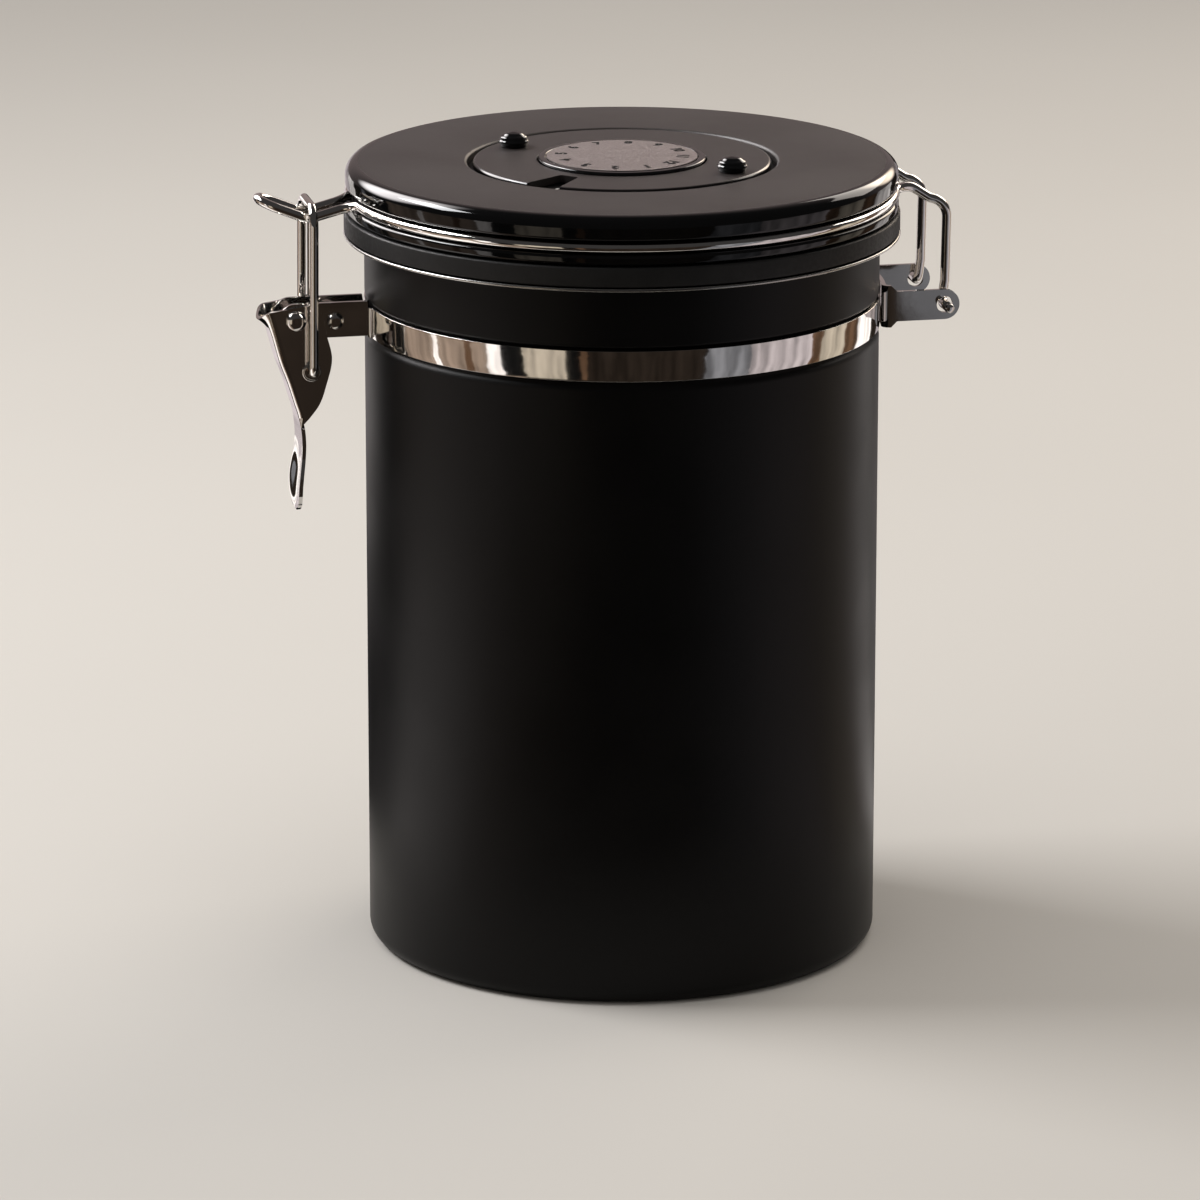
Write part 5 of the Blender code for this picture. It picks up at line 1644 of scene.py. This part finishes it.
@dataclass(frozen=True)
class Studio:
    """Camera, floor, background, lights, and the glowing cards and canopy that polished steel mirrors, which
    paint its reflections.
    """

    azimuth: float = math.radians(78)
    pitch: float = math.radians(15.4002)
    yaw: float = math.radians(-0.1839)
    distance: float = 1.5608
    camera_height: float = 0.5092
    lens: float = 209.27
    sensor: float = 36.0
    clip: Pair = (0.05, 30.0)
    aim_height: float = 0.15
    floor_radius: float = 6.0
    floor_sink: float = 0.00005
    floor_rings: int = 24
    floor_steps: int = 96
    floor_grain: float = 3.0
    floor_roughness: float = 0.8
    floor_tones: tuple = ((0.6, 0.565, 0.52), (0.64, 0.605, 0.56))
    world_colour: tuple = (1.0, 0.975, 0.945, 1)
    world_light: float = 0.34
    world_shown: float = 0.8
    mirrored_steps: int = 128
    card_radius: float = 0.4
    card_inner: float = 0.12
    card_height: float = 0.19
    card_grain: float = 22.0
    card_sway: float = 0.012
    streak_grain: float = 34.0
    streak_stretch: Triple = (1, 1, 0.1)
    streak_shares: Pair = (0.55, 1.35)
    # Where each card starts, in degrees from the camera's own direction, positive to its right
    cards: tuple = (
        (-180, Tone.OLIVE), (-166, Tone.LILAC), (-148, Tone.WHITE), (-139, Tone.OLIVE), (-128, Tone.GREY),
        (-125, Tone.OLIVE), (-118, Tone.GREY), (-115, Tone.BLACK), (-106, Tone.TAN), (-87, Tone.WHITE),
        (-83, Tone.TAN), (-70, Tone.BROWN), (-66, Tone.TAN), (-59, Tone.WHITE), (-51, Tone.BLACK),
        (-42, Tone.CREAM), (-23, Tone.BLACK), (-18, Tone.BROWN), (-15, Tone.OLIVE), (34, Tone.GREY),
        (54, Tone.LILAC), (87, Tone.BROWN), (93, Tone.CREAM), (110, Tone.BROWN), (122, Tone.WHITE),
        (138, Tone.OLIVE), (150, Tone.LILAC), (158, Tone.OLIVE),
    )
    # The same for the glowing ring on the floor round the can, a painted reflection of a table, which the
    # lower part of the wall mirrors
    table: tuple = (
        (-180, Tone.BLACK), (-106, Tone.WHITE), (-64, Tone.TAN), (-42, Tone.OLIVE), (34, Tone.GREY),
        (54, Tone.LILAC), (87, Tone.BROWN), (93, Tone.CREAM), (110, Tone.BROWN), (122, Tone.WHITE),
        (138, Tone.OLIVE), (150, Tone.LILAC), (158, Tone.OLIVE),
    )
    canopy_radius: float = 3.2
    canopy_rings: int = 24
    canopy_dark: Colour = (0.045, 0.043, 0.043)
    glows: tuple = (
        Glow(172, 10, 8, 62, (0.32, 0.258, 0.25)),
        Glow(-127, 34, 8, 26, (12.0, 11.4, 11.4)),
        Glow(152, 20, 5, 15, (6.0, 5.0, 4.0)),
    )
    lamps: tuple = (
        Softbox("window", -104, 42, 1.3, (0.7, 0.35), 14, (0.97, 0.98, 1)),
        Softbox("door", 140, 30, 1.3, (0.9, 0.5), 5, (1, 0.93, 0.85)),
        Softbox("ceiling", 0, 82, 1.4, (1.0, 1.0), 5, mirrored=False),
    )

    def direction(self, degrees: float, rise: float = 0.0) -> Vector:
        """Find a direction from the can.

        Args:
            degrees: from the camera's own direction, positive to its right.
            rise: degrees above the level.

        Returns:
            The direction, of length one.
        """
        turn = self.azimuth - math.pi / 2 + math.radians(degrees)
        lift = math.radians(rise)
        return Vector((math.cos(turn) * math.cos(lift), math.sin(turn) * math.cos(lift), math.sin(lift)))

    def add_camera(self) -> None:
        """Stand the camera at the photograph's place and angle."""
        ahead = -self.direction(0)
        right = ahead.cross(Vector((0, 0, 1)))
        level = math.sin(self.yaw) * right + math.cos(self.yaw) * ahead
        view = math.cos(self.pitch) * level - math.sin(self.pitch) * Vector((0, 0, 1))
        data = bpy.data.cameras.new("camera")
        data.lens = self.lens
        data.sensor_width = self.sensor
        data.clip_start, data.clip_end = self.clip
        item = bpy.data.objects.new("camera", data)
        item.location = (*(-ahead * self.distance).xy, self.camera_height)
        item.rotation_euler = view.to_track_quat("-Z", "Y").to_euler()
        bpy.context.scene.collection.objects.link(item)
        bpy.context.scene.camera = item

    def add_floor(self) -> None:
        """Lay a round pale floor: rings that widen outwards, r = R s^2."""
        share = np.linspace(0, 1, self.floor_rings)
        outline = np.stack([self.floor_radius * share**2, np.full_like(share, -self.floor_sink)], 1)
        floor = grid_object("floor", [spun(outline, self.floor_steps)], wrap_columns=False, outward=False)
        s = Shader("pale floor")
        s.set(Base_Color=s.mixed(s.noise(self.floor_grain, 3), *self.floor_tones),
              Roughness=self.floor_roughness, Specular_IOR_Level=0.0)
        floor.data.materials.append(s.material)

    def add_mirrored(self, name: str, profile: list, colour: Callable[[Shader], Socket]) -> None:
        """Turn a profile round the can's axis into a glowing surface that only mirrors show, a painted
        reflection and no lamp.

        Args:
            name: of the object.
            profile: (radius, height) a row.
            colour: gives the output of its colour.
        """
        grid = spun(np.asarray(profile), self.mirrored_steps)
        shell = grid_object(name, [grid], wrap_columns=False, outward=False)
        s = Shader(name)
        s.set(Base_Color=(0, 0, 0, 1), Specular_IOR_Level=0.0, Roughness=1.0, Emission_Strength=1.0,
              Emission_Color=colour(s))
        shell.data.materials.append(s.material)
        shell.visible_camera = shell.visible_diffuse = shell.visible_shadow = False
        shell.visible_transmission = shell.visible_volume_scatter = False

    def card_colour(self, s: Shader, cards: tuple) -> Socket:
        """Colour a ring of cards: a ramp over the angle round the can, a step for each card.

        Noise sways the cards' edges a little, and a second noise, drawn out in height, streaks them.

        Args:
            s: the shader that it is built in.
            cards: where each one starts, and its tone.

        Returns:
            The colour.
        """
        angle = s.maths("ARCTAN2", s.along(self.direction(90)), s.along(self.direction(0)))
        share = s.maths("ADD", s.maths("DIVIDE", angle, math.tau), (1 - self.card_sway) / 2)
        share = s.maths("ADD", share, s.maths("MULTIPLY", s.noise(self.card_grain, 2), self.card_sway))
        ramp = s.node("ValToRGB", {0: share})
        ramp.color_ramp.interpolation = "CONSTANT"
        steps = ramp.color_ramp.elements
        for index, (start, tone) in enumerate(cards):
            place = start / 360 + 0.5
            step = steps[index] if index < 2 else steps.new(place)
            step.position = place
            step.color = (*tone.value, 1)
        noise = s.noise(self.streak_grain, 4, self.streak_stretch)
        streak = s.between(noise, *NOISE_RANGE, *self.streak_shares)
        return s.node("VectorMath", {0: ramp.outputs[0], "Scale": streak}, operation="SCALE").outputs[0]

    def canopy_colour(self, s: Shader) -> Socket:
        """Colour the canopy: dark, with soft round lights, each inside an angle from its middle.

        Args:
            s: the shader that it is built in.

        Returns:
            The colour.
        """
        colour = self.canopy_dark
        for glow in self.glows:
            lean = s.along(self.direction(glow.degrees, glow.rise))
            edges = glow.outer, glow.inner
            far, near = (self.canopy_radius * math.cos(math.radians(edge)) for edge in edges)
            colour = s.mixed(s.between(lean, far, near), colour, glow.colour)
        return colour

    def add_surroundings(self) -> None:
        """Stand the glowing cards round the can, the glowing ring that stands for a table inside them and the
        canopy over them.
        """
        edge, inner = (self.card_radius, self.floor_sink), (self.card_inner, self.floor_sink)
        upright = [edge, (self.card_radius, self.card_height)]
        self.add_mirrored("cards", upright, lambda s: self.card_colour(s, self.cards))
        self.add_mirrored("table", [inner, edge], lambda s: self.card_colour(s, self.table))
        turn = np.linspace(0, math.pi / 2, self.canopy_rings)
        dome = self.canopy_radius * np.stack([np.cos(turn), np.sin(turn)], 1)
        self.add_mirrored("canopy", dome, self.canopy_colour)

    def add_world(self) -> None:
        """Light all round: pale where it is seen or reflected, softer where it lights."""
        world = bpy.data.worlds.new("studio")
        world.use_nodes = True
        tree = world.node_tree
        shade = tree.nodes["Background"]
        path = tree.nodes.new("ShaderNodeLightPath")
        seen = path.outputs["Is Camera Ray"]
        for name in ("Is Glossy Ray", "Is Transmission Ray"):
            either = tree.nodes.new("ShaderNodeMath")
            either.operation = "MAXIMUM"
            tree.links.new(seen, either.inputs[0])
            tree.links.new(path.outputs[name], either.inputs[1])
            seen = either.outputs[0]
        level = tree.nodes.new("ShaderNodeMapRange")
        tree.links.new(seen, level.inputs["Value"])
        level.inputs["To Min"].default_value = self.world_light
        level.inputs["To Max"].default_value = self.world_shown
        tree.links.new(level.outputs[0], shade.inputs["Strength"])
        shade.inputs["Color"].default_value = self.world_colour
        bpy.context.scene.world = world

    def add_lamp(self, lamp: Softbox) -> None:
        """Hang one softbox, turned to the can.

        Args:
            lamp: its place, size and light.
        """
        data = bpy.data.lights.new(lamp.name, "AREA")
        data.shape = "RECTANGLE"
        data.size, data.size_y = lamp.sides
        data.energy = lamp.power
        data.color = lamp.colour
        item = bpy.data.objects.new(lamp.name, data)
        towards = self.direction(lamp.degrees, lamp.rise)
        item.location = Vector((0, 0, self.aim_height)) + towards * lamp.distance
        item.rotation_euler = towards.to_track_quat("Z", "Y").to_euler()
        item.visible_glossy = lamp.mirrored
        bpy.context.scene.collection.objects.link(item)

    def build(self) -> None:
        """Set up the whole stage."""
        self.add_camera()
        self.add_floor()
        self.add_world()
        self.add_surroundings()
        for lamp in self.lamps:
            self.add_lamp(lamp)
        bpy.context.scene.view_settings.view_transform = "Standard"


def carry_over(finishes: dict[str, Material]) -> None:
    """Give each node of the frame that stays visible its finish.

    Args:
        finishes: materials by node.
    """
    for name, material in finishes.items():
        node = frame["nodes"][name]
        node.data.materials.clear()
        node.data.materials.append(material)
        log.info("%s: carried over", name)


def main() -> None:
    """Build the stage and every sub-assembly in order."""
    logging.basicConfig(level=logging.INFO, format="%(message)s")
    Studio().build()
    can_paint = Paint("can paint", (0.0022, 0.002, 0.002), 0.42, 0.15,
                      bare_radius=0.0634, bare_colour=(0.4, 0.39, 0.37), bare_roughness=0.22).material()
    lid_paint = Paint("lid paint", (0.016, 0.0125, 0.0115), 0.46, 0.42, gloss_and_shade_radius=0.0599).material()
    # The near-black glossy zone past 33.3 mm is painted shade on the ring's edge: a dark line that stands for
    # the gap round the dial
    dial_paint = Paint("dial paint", (0.016, 0.0125, 0.0115), 0.44, 0.42, gloss_and_shade_radius=0.0333).material()
    steel = Steel("polished steel", (0.76, 0.74, 0.71), 0.06, wave_height=0.000015).material()
    plain = Steel("plain steel", (0.6, 0.6, 0.6), 0.32).material()
    plastic = Moulded("liner plastic", (0.012, 0.012, 0.012), 0.42).material()
    silicone = Moulded("silicone", (0.009, 0.0088, 0.0088), 0.55, 1200, specular=0.25).material()
    gloss = Moulded("gloss plastic", (0.003, 0.003, 0.0033), 0.06, 900, 0.000001).material()
    plate = Moulded("number plate", (0.004, 0.004, 0.004), 0.6, specular=0.1).material()
    ink = Moulded("black print", (0.004, 0.004, 0.004), 0.7, specular=0.1).material()
    pale_ink = Moulded("pale print", (0.45, 0.43, 0.4), 0.5).material()
    satin = Steel("satin disc", (0.41, 0.37, 0.36), 0.4, smudge_grain=1500.0).material()
    paper = Moulded("filter paper", (0.7, 0.69, 0.65), 0.9, 3000, 0.00003, 0.2).material()
    assemblies = (
        Can(can_paint, plain),
        Band(steel),
        Latch(steel),
        Hinge(steel),
        Lid(lid_paint, plastic, silicone),
        Dial(plate, pale_ink, dial_paint, gloss, satin, ink),
        Valve(plastic, paper),
    )
    for assembly in assemblies:
        assembly.build()
    carry_over({"hub_screw": plain, "valve_cap": plastic, "valve_flap": silicone})


if __name__ == "__main__":
    main()
